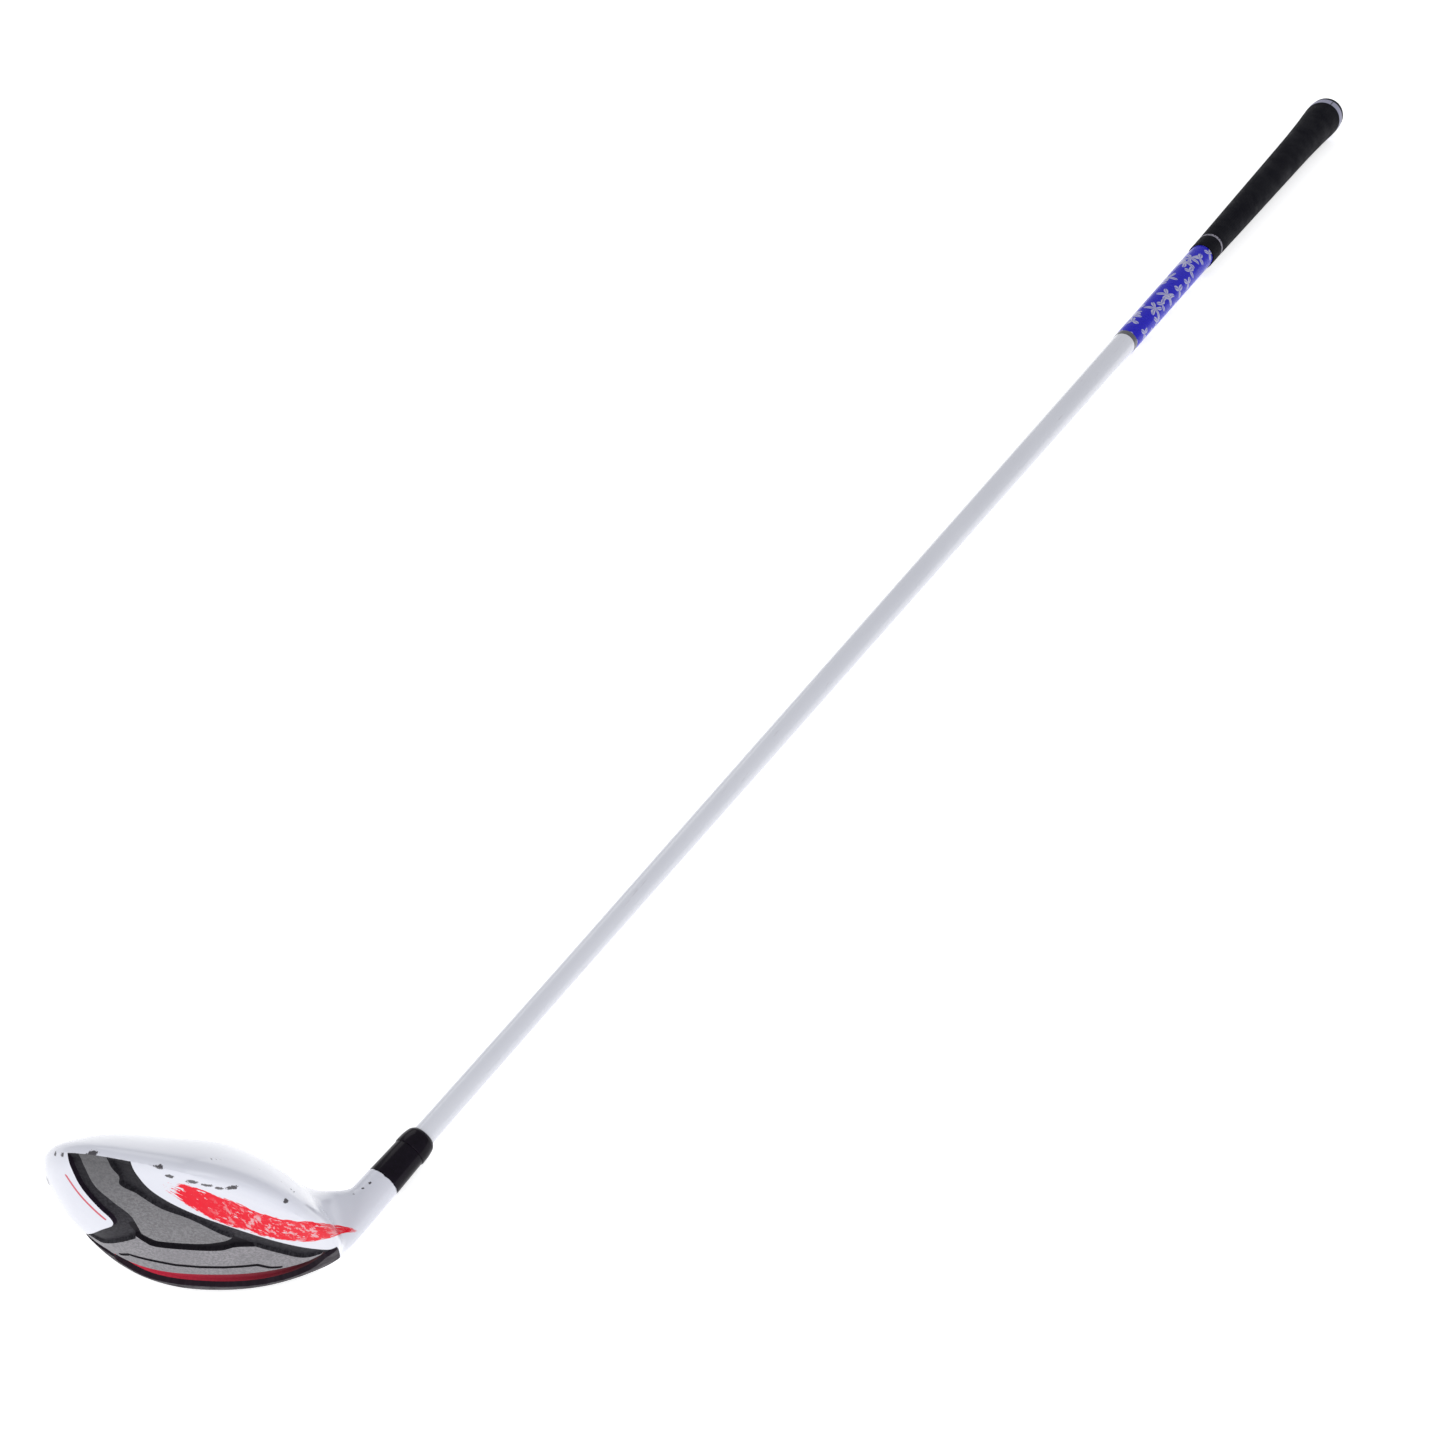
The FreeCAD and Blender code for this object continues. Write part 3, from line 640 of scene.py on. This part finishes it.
def lathe(name, profile, materials, around=96, longest=12.0):
    """A closed ring of revolution about the shaft axis, from a closed profile of (along, radius, bend)."""
    ring = stretched(rounded(profile), longest)
    area = (ring[:, 0] * np.roll(ring[:, 1], -1) - np.roll(ring[:, 0], -1) * ring[:, 1]).sum()
    if area < 0:
        ring = ring[::-1]
    count = len(ring)
    angles = 2 * math.pi * np.arange(around) / around - math.pi / 2
    out = np.cos(angles)[:, None] * ACROSS + np.sin(angles)[:, None] * REAR
    points = ring[None, :, 0, None] * SHAFT + ring[None, :, 1, None] * out[:, None, :]
    local = np.stack(np.broadcast_arrays(ring[None, :, 1] * np.cos(angles)[:, None],
                                         ring[None, :, 1] * np.sin(angles)[:, None],
                                         ring[None, :, 0] + 0 * angles[:, None]), axis=-1)
    i, j = np.meshgrid(np.arange(around), np.arange(count), indexing="ij")
    i, j = i.ravel(), j.ravel()
    ni, nj = (i + 1) % around, (j + 1) % count
    faces = np.stack([i * count + j, i * count + nj, ni * count + nj, ni * count + j], axis=1)
    mean = ring[:, 1].mean()
    turn = 2 * math.pi / around * mean
    uv = np.stack([np.stack([i * turn, ring[j, 0]], 1), np.stack([i * turn, ring[nj, 0]], 1),
                   np.stack([(i + 1) * turn, ring[nj, 0]], 1), np.stack([(i + 1) * turn, ring[j, 0]], 1)], 1)
    piece = add_mesh(name, to_row(points.reshape(-1, 3)), faces, materials,
                     values={"mm": local.reshape(-1, 3)}, uv=uv)
    piece.data.set_sharp_from_angle(angle=math.radians(40))
    return piece


# Stations along the shaft axis, radii and thicknesses, mm.
TIP_END, TAPER_START, TAPER_END, BUTT_END = 19.5, 150, 800, 1062.5
TIP_R, BUTT_R = 4.25, 7.55
TIP_BORE_R, BUTT_BORE_R = 2.6, 6.5
FERRULE_END, COLLAR_END = 61.3, 68.7
RING_START, BAND_START, GRIP_START = 694, 698, 818
MARK_START, MARK_END, MARK_FLOOR_R = 832, 834.2, 7.95
SLEEVE_END, CAP_START, CAP_END = 1055, 1061, 1067
GRIP_END_R, VENT_R = 12.9, 1.6
FILM, TAPE = 0.12, 0.15


def shaft_radius(along):
    share = min(max((along - TAPER_START) / (TAPER_END - TAPER_START), 0), 1)
    return TIP_R + (BUTT_R - TIP_R) * share


def make_shaft(paint):
    tube = lathe("painted_shaft", [
        (TIP_END, TIP_R, 0.3), (TAPER_START, TIP_R, 12), (TAPER_END, BUTT_R, 12), (BUTT_END, BUTT_R, 0.3),
        (BUTT_END, BUTT_BORE_R, 0), (TAPER_END, BUTT_BORE_R, 0), (TAPER_START, TIP_BORE_R, 0),
        (TIP_END, TIP_BORE_R, 0)], [paint["shaft"]], around=72)
    finish_piece(tube, "shaft_white", "shaft_tube")
    sleeve = lathe("ferrule_sleeve", [
        (HOSEL_TOP, TIP_R, 0), (HOSEL_TOP, 6.35, 0.15), (FERRULE_END, 6.0, 0.15), (FERRULE_END, TIP_R, 0)],
        [paint["ferrule"]])
    finish_piece(sleeve, "ferrule_black", "ferrule")
    collar = lathe("ferrule_ring", [
        (FERRULE_END, TIP_R, 0), (FERRULE_END, 6.3, 0.35), (64.6, 6.25, 2.0), (67.6, 5.6, 1.6),
        (COLLAR_END, 4.7, 0.3), (COLLAR_END, TIP_R, 0)], [paint["ferrule"]])
    finish_piece(collar, "ferrule_black", "ferrule_collar")
    start, end = shaft_radius(RING_START), shaft_radius(BAND_START)
    ring = lathe("grey_ring", [
        (RING_START, start, 0), (RING_START, start + FILM, 0.05), (BAND_START, end + FILM, 0),
        (BAND_START, end, 0)], [paint["ring"]])
    finish_piece(ring, "decal_grey", "decal_ring")
    band = lathe("leaf_band", [
        (BAND_START, end, 0), (BAND_START, end + FILM, 0.05), (TAPER_END, BUTT_R + FILM, 10),
        (GRIP_START, BUTT_R + FILM, 0), (GRIP_START, BUTT_R, 0), (TAPER_END, BUTT_R, 0)], [paint["band"]])
    finish_piece(band, "decal_blue", "shaft_decal_band")


def make_grip(paint):
    bore = BUTT_R + TAPE
    sleeve = lathe("rubber_grip", [
        (GRIP_START, bore, 0), (GRIP_START, 8.3, 0.35), (MARK_START, 8.35, 0.1),
        (MARK_START, MARK_FLOOR_R, 0), (MARK_END, MARK_FLOOR_R, 0), (MARK_END, 8.4, 0.1),
        (880, 9.1, 20), (930, 9.8, 20), (1006, 10.9, 14), (1035, 11.9, 12), (1047, 12.55, 5),
        (SLEEVE_END, GRIP_END_R, 0), (SLEEVE_END, bore, 0)], [paint["rubber"]], longest=6.0)
    finish_piece(sleeve, "grip_rubber", "grip_sleeve")
    mark = lathe("grip_ring", [
        (MARK_START, MARK_FLOOR_R, 0), (MARK_START, 8.32, 0.08), (MARK_END, 8.34, 0.08),
        (MARK_END, MARK_FLOOR_R, 0)], [paint["mark"]])
    finish_piece(mark, "grip_grey", "grip_mark_ring")
    band = lathe("cap_ring", [
        (SLEEVE_END, bore, 0), (SLEEVE_END, GRIP_END_R, 0.12), (CAP_START, GRIP_END_R, 0.12),
        (CAP_START, bore, 0)], [paint["cap_band"]])
    finish_piece(band, "grip_grey", "cap_band")
    cap = lathe("grip_end_cap", [
        (BUTT_END, VENT_R, 0), (BUTT_END, bore, 0), (CAP_START, bore, 0), (CAP_START, GRIP_END_R, 0.12),
        (1065.3, 12.4, 1.4), (CAP_END, 10.9, 0.8), (CAP_END, VENT_R, 0.4)], [paint["rubber"]])
    finish_piece(cap, "grip_rubber", "grip_cap")


# ---------------------------------------------------------------- materials

class Paint:
    """Builds one node material around a Principled shader. A keyword sets the socket of that name."""

    def __init__(self, name, **sockets):
        self.material = bpy.data.materials.new(name)
        self.material.use_nodes = True
        self.tree = self.material.node_tree
        self.shader = self.tree.nodes["Principled BSDF"]
        for key, value in sockets.items():
            self.shader.inputs[key.replace("_", " ").title().replace("Ior", "IOR")].default_value = value

    def node(self, kind, settings=None, **inputs):
        """A node with inputs by name, or by number after an underscore."""
        made = self.tree.nodes.new("ShaderNode" + kind)
        for key, value in (settings or {}).items():
            setattr(made, key, value)
        for key, value in inputs.items():
            self.feed(made.inputs[int(key[1:]) if key[1:].isdigit() else key.replace("_", " ")], value)
        return made

    def feed(self, socket, value):
        if isinstance(value, bpy.types.NodeSocket):
            self.tree.links.new(value, socket)
        else:
            socket.default_value = value

    def attribute(self, name, output="Vector"):
        return self.node("Attribute", {"attribute_name": name}).outputs[output]

    def math(self, operation, a, b=0.0):
        return self.node("Math", {"operation": operation}, _0=a, _1=b).outputs[0]

    def noise(self, vector, scale, detail=2.0, roughness=0.5):
        made = self.node("TexNoise", Vector=vector, Scale=scale, Detail=detail, Roughness=roughness)
        return made.outputs["Fac"]

    def scaled(self, vector, x, y, z):
        return self.node("VectorMath", {"operation": "MULTIPLY"}, _0=vector, _1=(x, y, z)).outputs[0]

    def span(self, value, low, high, to_low=0.0, to_high=1.0):
        made = self.node("MapRange", {"clamp": True}, Value=value)
        for key, number in (("From Min", low), ("From Max", high), ("To Min", to_low), ("To Max", to_high)):
            made.inputs[key].default_value = number
        return made.outputs[0]

    def spread(self, noise, to_low=0.0, to_high=1.0):
        """Maps the range that a noise mostly keeps to."""
        return self.span(noise, 0.3, 0.7, to_low, to_high)

    def mix(self, share, a, b):
        made = self.node("Mix", {"data_type": "RGBA"})
        self.feed(made.inputs[0], share)
        for socket, value in ((made.inputs[6], a), (made.inputs[7], b)):
            self.feed(socket, (*value, 1.0) if isinstance(value, tuple) else value)
        return made.outputs[2]

    def near(self, vector, centre, size, ragged=0.0):
        """1 inside an ellipsoid with a ragged edge, else 0."""
        off = self.node("VectorMath", {"operation": "SUBTRACT"}, _0=vector, _1=centre).outputs[0]
        off = self.scaled(off, *(1 / s for s in size))
        far = self.node("VectorMath", {"operation": "LENGTH"}, _0=off).outputs["Value"]
        if ragged:
            rough = self.noise(vector, 1.1, 4.0, 0.7)
            far = self.math("ADD", far, self.spread(rough, -ragged, ragged))
        return self.span(far, 0.92, 1.08, 1.0, 0.0)

    def bump(self, height, strength, reach):
        made = self.node("Bump", Strength=strength, Distance=reach, Height=height)
        self.feed(self.shader.inputs["Normal"], made.outputs[0])

    def set(self, name, value):
        self.feed(self.shader.inputs[name], value)


CHIPS = [  # centre and half sizes in the club frame, mm
    ((46.3, 69.5, 8.6), (2.2, 1.1, 1.0)), ((61.2, 61.8, 12.9), (0.8, 0.8, 0.7)),
    ((57.8, 63.9, 11.3), (0.8, 0.8, 0.6)), ((67.8, 45.7, 13.5), (1.4, 1.9, 1.2)),
    ((24.0, 70.2, 3.3), (1.8, 0.8, 0.9)), ((21.2, 66.6, 2.8), (1.3, 1.0, 0.9)),
    ((14.7, 64.9, 2.0), (1.9, 1.0, 1.0)), ((10.4, 63.6, 1.6), (2.2, 0.8, 0.9)),
    ((7.0, 62.3, 1.4), (1.2, 0.8, 0.9)), ((3.2, 62.4, 1.5), (1.9, 0.8, 0.9)),
    ((-10.8, 52.1, 3.2), (0.9, 0.8, 0.7)), ((-14.7, 5.7, 30.7), (0.8, 0.8, 0.25)),
    ((-17.4, 6.3, 31.9), (0.7, 0.8, 0.25)), ((-20.2, 6.5, 34.3), (0.5, 0.8, 0.35)),
    ((-22.3, 6.5, 36.3), (0.5, 0.8, 0.45)),
]


def white_paint():
    """White lacquer with the brush stroke, the toe line and the chips painted on."""
    p = Paint("white_lacquer", coat_roughness=0.08)
    mm = p.attribute("mm")
    wide = p.noise(mm, 0.045, 3.0)
    base = p.mix(wide, (0.65, 0.66, 0.735), (0.70, 0.708, 0.77))
    fine = p.noise(mm, 0.9, 3.0)
    stroke = p.node("SeparateXYZ", Vector=p.attribute("stroke"))
    along, across = stroke.outputs[0], stroke.outputs[1]
    streaks = p.node("CombineXYZ", X=p.math("MULTIPLY", along, 13.0), Y=p.math("MULTIPLY", across, 4.5))
    hair = p.noise(streaks.outputs[0], 1.0, 4.0, 0.65)
    ends = p.math("MULTIPLY", p.span(along, -0.02, 0.14), p.span(along, 0.9, 1.06, 1.0, 0.0))
    body = p.math("ADD", ends, p.spread(hair, -0.75, 0.45))
    body = p.span(body, 0.42, 0.48)
    edge = p.math("ADD", p.math("ABSOLUTE", across), p.spread(hair, -0.16, 0.2))
    mask = p.math("MULTIPLY", body, p.span(edge, 0.97, 1.03, 1.0, 0.0))
    red = p.mix(fine, (0.80, 0.006, 0.022), (0.72, 0.010, 0.030))
    pale = p.span(p.noise(streaks.outputs[0], 2.3, 3.0, 0.6), 0.62, 0.7)
    red = p.mix(p.math("MULTIPLY", pale, 0.3), red, (0.8, 0.22, 0.27))
    slanted = p.node("CombineXYZ", X=p.math("ADD", p.math("MULTIPLY", along, 26.0), across),
                     Y=p.math("MULTIPLY", across, 1.6))
    scratch = p.noise(slanted.outputs[0], 1.0, 4.0, 0.7)
    centre_line = p.span(p.math("ABSOLUTE", across), 0.5, 0.85, 1.0, 0.0)
    middle = p.math("MULTIPLY", p.span(along, 0.22, 0.4), p.span(along, 0.72, 0.88, 1.0, 0.0))
    worn = p.math("MULTIPLY", p.math("MULTIPLY", p.span(scratch, 0.52, 0.58), centre_line), middle)
    red = p.mix(p.math("MULTIPLY", worn, 0.7), red, (0.72, 0.56, 0.60))
    base = p.mix(mask, base, red)
    p.set("Coat Weight", p.span(mask, 0.0, 1.0, 0.35, 0.04))
    p.set("Specular IOR Level", p.span(mask, 0.0, 1.0, 0.35, 0.05))
    line = p.span(p.attribute("toe_line", "Fac"), 0.42, 0.56, 1.0, 0.0)
    base = p.mix(line, base, (0.55, 0.03, 0.07))
    marks = None
    for centre, size in CHIPS:
        mark = p.near(mm, centre, size, 0.55)
        marks = mark if marks is None else p.math("MAXIMUM", marks, mark)
    base = p.mix(marks, base, (0.06, 0.055, 0.065))
    p.set("Base Color", base)
    p.set("Roughness", p.math("MAXIMUM", p.spread(wide, 0.14, 0.24), p.math("MULTIPLY", marks, 0.6)))
    height = p.math("SUBTRACT", p.math("MULTIPLY", p.noise(mm, 0.6, 2.0), 0.05), marks)
    p.bump(height, 0.25, 0.00015)
    return p.material


def granular(name, dark, light, rough):
    """A matt grey with a fine metallic grain, and painted shade that darkens it towards the rear of the head.
    """
    p = Paint(name, metallic=0.3, specular_ior_level=0.08)
    mm = p.attribute("mm")
    grain = p.noise(mm, 1.1, 4.0, 0.8)
    wide = p.noise(mm, 0.07, 2.0)
    base = p.mix(p.span(grain, 0.4, 0.6), dark, light)
    base = p.mix(p.span(wide, 0.35, 0.65, 0.0, 0.3), base, dark)
    # Painted shade: the grey is mixed towards half of its dark tone over the rear of the head.
    rear = p.span(p.node("SeparateXYZ", Vector=mm).outputs[1], 38.0, 70.0, 0.0, 0.6)
    base = p.mix(rear, base, tuple(0.5 * value for value in dark))
    p.set("Base Color", base)
    p.set("Roughness", p.spread(grain, rough - 0.08, rough + 0.1))
    p.bump(grain, 0.25, 0.0001)
    return p.material


def plain(name, dark, light, rough, scale=0.8, bump=0.1, **sockets):
    """A gently varied finish for the small pieces."""
    p = Paint(name, **sockets)
    mm = p.attribute("mm")
    fine = p.noise(mm, scale, 4.0)
    p.set("Base Color", p.mix(p.spread(fine), dark, light))
    p.set("Roughness", p.spread(p.noise(mm, scale * 0.3, 3.0), rough * 0.75, rough * 1.25))
    p.bump(fine, bump, 0.0001)
    return p.material


def red_filler():
    """Red with painted shade that darkens it towards the heel, where the slot lies deepest in shade."""
    p = Paint("red_urethane", specular_ior_level=0.1, coat_weight=0.05, coat_roughness=0.2)
    mm = p.attribute("mm")
    fine = p.noise(mm, 1.6, 3.0)
    base = p.mix(p.spread(fine), (0.50, 0.016, 0.045), (0.62, 0.030, 0.066))
    # Painted shade: the red is mixed towards near black on the heel side of the slot.
    heel_shade = p.span(p.node("SeparateXYZ", Vector=mm).outputs[0], -6.0, 46.0, 1.0, 0.0)
    base = p.mix(p.math("POWER", heel_shade, 0.8), base, (0.04, 0.003, 0.007))
    p.set("Base Color", base)
    p.set("Roughness", p.spread(p.noise(mm, 0.4), 0.35, 0.5))
    p.bump(fine, 0.12, 0.0001)
    return p.material


def leaf_band():
    """Two sizes of lilac leaves with veins, on blue."""
    p = Paint("leaf_pattern", specular_ior_level=0.1, coat_weight=0.15, coat_roughness=0.06)
    uv = p.node("UVMap", {"uv_map": "turn"}).outputs[0]
    fine = p.noise(uv, 0.9, 3.0)
    warped = p.node("VectorMath", {"operation": "MULTIPLY_ADD"}, _0=p.node(
        "TexNoise", Vector=uv, Scale=0.12).outputs["Color"], _1=(3.0, 3.0, 0.0), _2=uv).outputs[0]
    shapes = None
    for scale, petals, size in ((0.055, 5.0, 6.6), (0.075, 3.0, 4.6)):
        cells = p.node("TexVoronoi", {"voronoi_dimensions": "2D"}, Vector=warped, Scale=scale, Randomness=0.7)
        nearest = cells.outputs["Position"]
        off = p.node("VectorMath", {"operation": "SUBTRACT"}, _0=warped, _1=nearest).outputs[0]
        parts = p.node("SeparateXYZ", Vector=off)
        angle = p.math("ARCTAN2", parts.outputs[1], parts.outputs[0])
        # The third input of MULTIPLY_ADD keeps its default, which only turns the leaf.
        lobe = p.math("ABSOLUTE", p.math("COSINE", p.math("MULTIPLY_ADD", angle, petals / 2)))
        far = p.node("VectorMath", {"operation": "LENGTH"}, _0=off).outputs["Value"]
        reach = p.span(p.math("POWER", lobe, 1.5), 0.0, 1.0, 0.5, size)
        leaf = p.span(p.math("SUBTRACT", reach, far), -0.12, 0.12)
        vein = p.span(p.math("MULTIPLY", p.math("SUBTRACT", 1.0, lobe), far), 0.04, 0.1)
        leaf = p.math("MULTIPLY", leaf, p.span(vein, 0.0, 1.0, 0.35, 1.0))
        shapes = leaf if shapes is None else p.math("MAXIMUM", shapes, leaf)
    blue = p.mix(p.spread(fine), (0.004, 0.002, 0.42), (0.014, 0.008, 0.60))
    lilac = p.mix(p.spread(fine), (0.40, 0.40, 0.56), (0.52, 0.52, 0.70))
    p.set("Base Color", p.mix(shapes, blue, lilac))
    p.set("Roughness", p.spread(p.noise(uv, 0.2), 0.2, 0.32))
    p.bump(p.math("ADD", p.math("MULTIPLY", fine, 0.1), p.math("MULTIPLY", shapes, 0.5)), 0.15, 0.0001)
    return p.material


def shaft_lacquer():
    p = Paint("shaft_lacquer", coat_weight=0.5, coat_roughness=0.05)
    mm = p.attribute("mm")
    wide = p.noise(p.scaled(mm, 0.05, 0.05, 0.012), 1.0, 3.0)
    base = p.mix(wide, (0.66, 0.67, 0.73), (0.75, 0.76, 0.81))
    scuff = p.noise(p.scaled(mm, 0.5, 0.5, 0.06), 1.0, 5.0, 0.7)
    base = p.mix(p.span(scuff, 0.63, 0.7, 0.0, 0.3), base, (0.42, 0.38, 0.42))
    p.set("Base Color", base)
    p.set("Roughness", p.spread(wide, 0.16, 0.28))
    p.bump(p.noise(mm, 0.5, 2.0), 0.06, 0.0001)
    return p.material


def grip_rubber():
    p = Paint("grip_rubber", specular_ior_level=0.06)
    uv = p.node("UVMap", {"uv_map": "turn"}).outputs[0]
    mm = p.attribute("mm")
    fine = p.noise(mm, 1.8, 4.0, 0.7)
    knurl = p.node("TexVoronoi", {"voronoi_dimensions": "2D", "feature": "DISTANCE_TO_EDGE"}, Vector=uv,
                   Scale=0.75, Randomness=0.35).outputs["Distance"]
    base = p.mix(p.spread(fine), (0.0020, 0.0020, 0.0045), (0.0055, 0.0055, 0.0100))
    p.set("Base Color", base)
    p.set("Roughness", p.spread(p.noise(mm, 0.12, 3.0), 0.55, 0.75))
    p.bump(p.math("ADD", p.span(knurl, 0.0, 0.35), p.math("MULTIPLY", fine, 0.3)), 0.5, 0.0002)
    return p.material


def mark_ink():
    p = Paint("ring_ink")
    mm = p.attribute("mm")
    worn = p.noise(mm, 0.75, 4.0, 0.7)
    base = p.mix(p.span(worn, 0.5, 0.56), (0.30, 0.28, 0.34), (0.04, 0.04, 0.05))
    p.set("Base Color", base)
    p.set("Roughness", p.spread(worn, 0.45, 0.65))
    p.bump(worn, 0.2, 0.0001)
    return p.material


def cap_band_rubber():
    p = Paint("cap_band_rubber")
    mm = p.attribute("mm")
    fine = p.noise(mm, 1.2, 4.0)
    base = p.mix(p.spread(fine), (0.27, 0.27, 0.38), (0.34, 0.34, 0.45))
    seam = p.near(mm, (-4.0, 12.3, 1058.0), (0.35, 2.0, 4.0))
    p.set("Base Color", p.mix(seam, base, (0.01, 0.01, 0.015)))
    p.set("Roughness", p.spread(p.noise(mm, 0.3), 0.4, 0.55))
    p.bump(fine, 0.15, 0.0001)
    return p.material


def make_paints():
    return {
        "white": white_paint(),
        "grey": granular("panel_grey", (0.14, 0.138, 0.145), (0.26, 0.255, 0.267), 0.5),
        "bar": granular("bar_grey", (0.185, 0.18, 0.193), (0.33, 0.32, 0.338), 0.5),
        # Painted shade: the sunk grey facets get a near black grey that stands for the shade on their slopes.
        "facet": granular("shaded_facet_paint", (0.012, 0.011, 0.015), (0.050, 0.048, 0.056), 0.55),
        # Painted shade: the border wall of the sunk grey area gets a still darker grey for the shade it lies
        # in.
        "edge": granular("shaded_wall_paint", (0.006, 0.003, 0.008), (0.016, 0.010, 0.020), 0.6),
        "groove": granular("groove_black", (0.006, 0.005, 0.008), (0.016, 0.014, 0.018), 0.6),
        "face": plain("black_face_paint", (0.012, 0.007, 0.013), (0.022, 0.014, 0.023), 0.5,
                      specular_ior_level=0.1),
        "red": red_filler(),
        "shaft": shaft_lacquer(),
        "ferrule": plain("ferrule_gloss", (0.003, 0.0015, 0.0045), (0.006, 0.0035, 0.0085), 0.2, 0.5, 0.04,
                         specular_ior_level=0.05, coat_weight=0.15, coat_roughness=0.05),
        "ring": plain("ring_grey", (0.06, 0.06, 0.07), (0.09, 0.09, 0.10), 0.3, coat_weight=0.4),
        "band": leaf_band(),
        "rubber": grip_rubber(),
        "mark": mark_ink(),
        "cap_band": cap_band_rubber(),
    }


def inner_material(name, dark, light, rough, scale, **sockets):
    """A finish for a carried-over CAD node, in object coordinates, which are metres."""
    p = Paint(name, **sockets)
    place = p.node("TexCoord").outputs["Object"]
    fine = p.noise(place, scale, 4.0)
    p.set("Base Color", p.mix(p.spread(fine), dark, light))
    p.set("Roughness", p.spread(p.noise(place, scale * 0.3, 2.0), rough * 0.75, rough * 1.2))
    p.bump(fine, 0.3, 0.0002)
    return p.material


def dress_inner_nodes():
    looks = {
        "tip_weight": inner_material("dense_weight", (0.35, 0.25, 0.1), (0.5, 0.38, 0.18), 0.35, 900,
                                     metallic=1.0),
        "glue_dam": inner_material("white_foam", (0.7, 0.7, 0.66), (0.85, 0.85, 0.82), 0.9, 2500),
        "hosel_epoxy": inner_material("cured_epoxy", (0.5, 0.42, 0.2), (0.62, 0.54, 0.3), 0.2, 700),
        "grip_tape": inner_material("masking_tape", (0.62, 0.58, 0.48), (0.72, 0.68, 0.58), 0.8, 1500),
        "sole_weight_pad": inner_material("cast_steel", (0.3, 0.3, 0.31), (0.42, 0.42, 0.43), 0.45, 1200,
                                          metallic=1.0),
        "hot_melt_pad": inner_material("hot_melt_glue", (0.45, 0.34, 0.15), (0.6, 0.48, 0.24), 0.35, 500),
    }
    for name, material in looks.items():
        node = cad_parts[name]
        node.data.materials.clear()
        node.data.materials.append(material)


# ---------------------------------------------------------------- stage

def make_floor():
    """A white floor, 8 m square, that glows a little so that it stays pale."""
    size, count = 8.0, 24
    steps = np.linspace(-size / 2, size / 2, count)
    x, y = np.meshgrid(steps, steps, indexing="ij")
    points = np.stack([x.ravel(), y.ravel(), np.zeros(count * count)], 1)
    i, j = np.meshgrid(np.arange(count - 1), np.arange(count - 1), indexing="ij")
    a = (i * count + j).ravel()
    faces = np.stack([a, a + count, a + count + 1, a + 1], 1)
    p = Paint("pale_floor", roughness=0.9)
    place = p.node("TexCoord").outputs["Object"]
    p.set("Base Color", p.mix(p.noise(place, 3.0, 2.0), (0.93, 0.93, 0.93), (0.95, 0.95, 0.95)))
    p.shader.inputs["Emission Color"].default_value = (1, 1, 1, 1)
    p.shader.inputs["Emission Strength"].default_value = 0.6
    floor = add_mesh("floor", points, faces, [p.material])


def area_light(name, place, target, size, energy):
    lamp = bpy.data.lights.new(name, "AREA")
    lamp.shape = "RECTANGLE"
    lamp.size, lamp.size_y = size
    lamp.energy = energy
    holder = bpy.data.objects.new(name, lamp)
    holder.location = place
    holder.rotation_euler = (Vector(target) - Vector(place)).to_track_quat("-Z", "Y").to_euler()
    bpy.context.scene.collection.objects.link(holder)


LIGHTS = [  # name, place, aim, width and length in m, power in W
    ("back_softbox", (0.5, 1.3, 0.9), (-0.3, 0, 0), (0.9, 0.9), 2.7),
    ("left_softbox", (-1.5, 0.6, 0.8), (-0.3, 0, 0), (0.9, 0.9), 0.9),
    ("front_softbox", (-1.15, -0.45, 0.85), (-0.45, 0, 0), (0.7, 0.7), 3.0),
    ("glint_strip", (-0.7, -1.3, 0.9), (-0.2, 0, 0), (0.10, 0.9), 0.8),
]
CAMERA_PLACE = (-0.65007, -0.30219, 0.50206)
CAMERA_TURN = (46.729, 1.412, -57.018)  # Euler angles, degrees
LENS, SENSOR = 40.1, 36.0


def make_lights():
    world = bpy.data.worlds.new("studio")
    world.use_nodes = True
    background = world.node_tree.nodes["Background"]
    background.inputs["Color"].default_value = (0.96, 0.97, 1.0, 1.0)
    background.inputs["Strength"].default_value = 0.62
    bpy.context.scene.world = world
    for light in LIGHTS:
        area_light(*light)


def make_camera():
    lens = bpy.data.cameras.new("camera")
    lens.sensor_width, lens.lens = SENSOR, LENS
    lens.clip_start, lens.clip_end = 0.01, 30.0
    holder = bpy.data.objects.new("camera", lens)
    holder.location = CAMERA_PLACE
    holder.rotation_euler = [math.radians(angle) for angle in CAMERA_TURN]
    bpy.context.scene.collection.objects.link(holder)
    bpy.context.scene.camera = holder
    bpy.context.scene.view_settings.view_transform = "Standard"


def main():
    paints = make_paints()
    make_head(paints)
    make_shaft(paints)
    make_grip(paints)
    dress_inner_nodes()
    make_floor()
    make_lights()
    make_camera()


main()
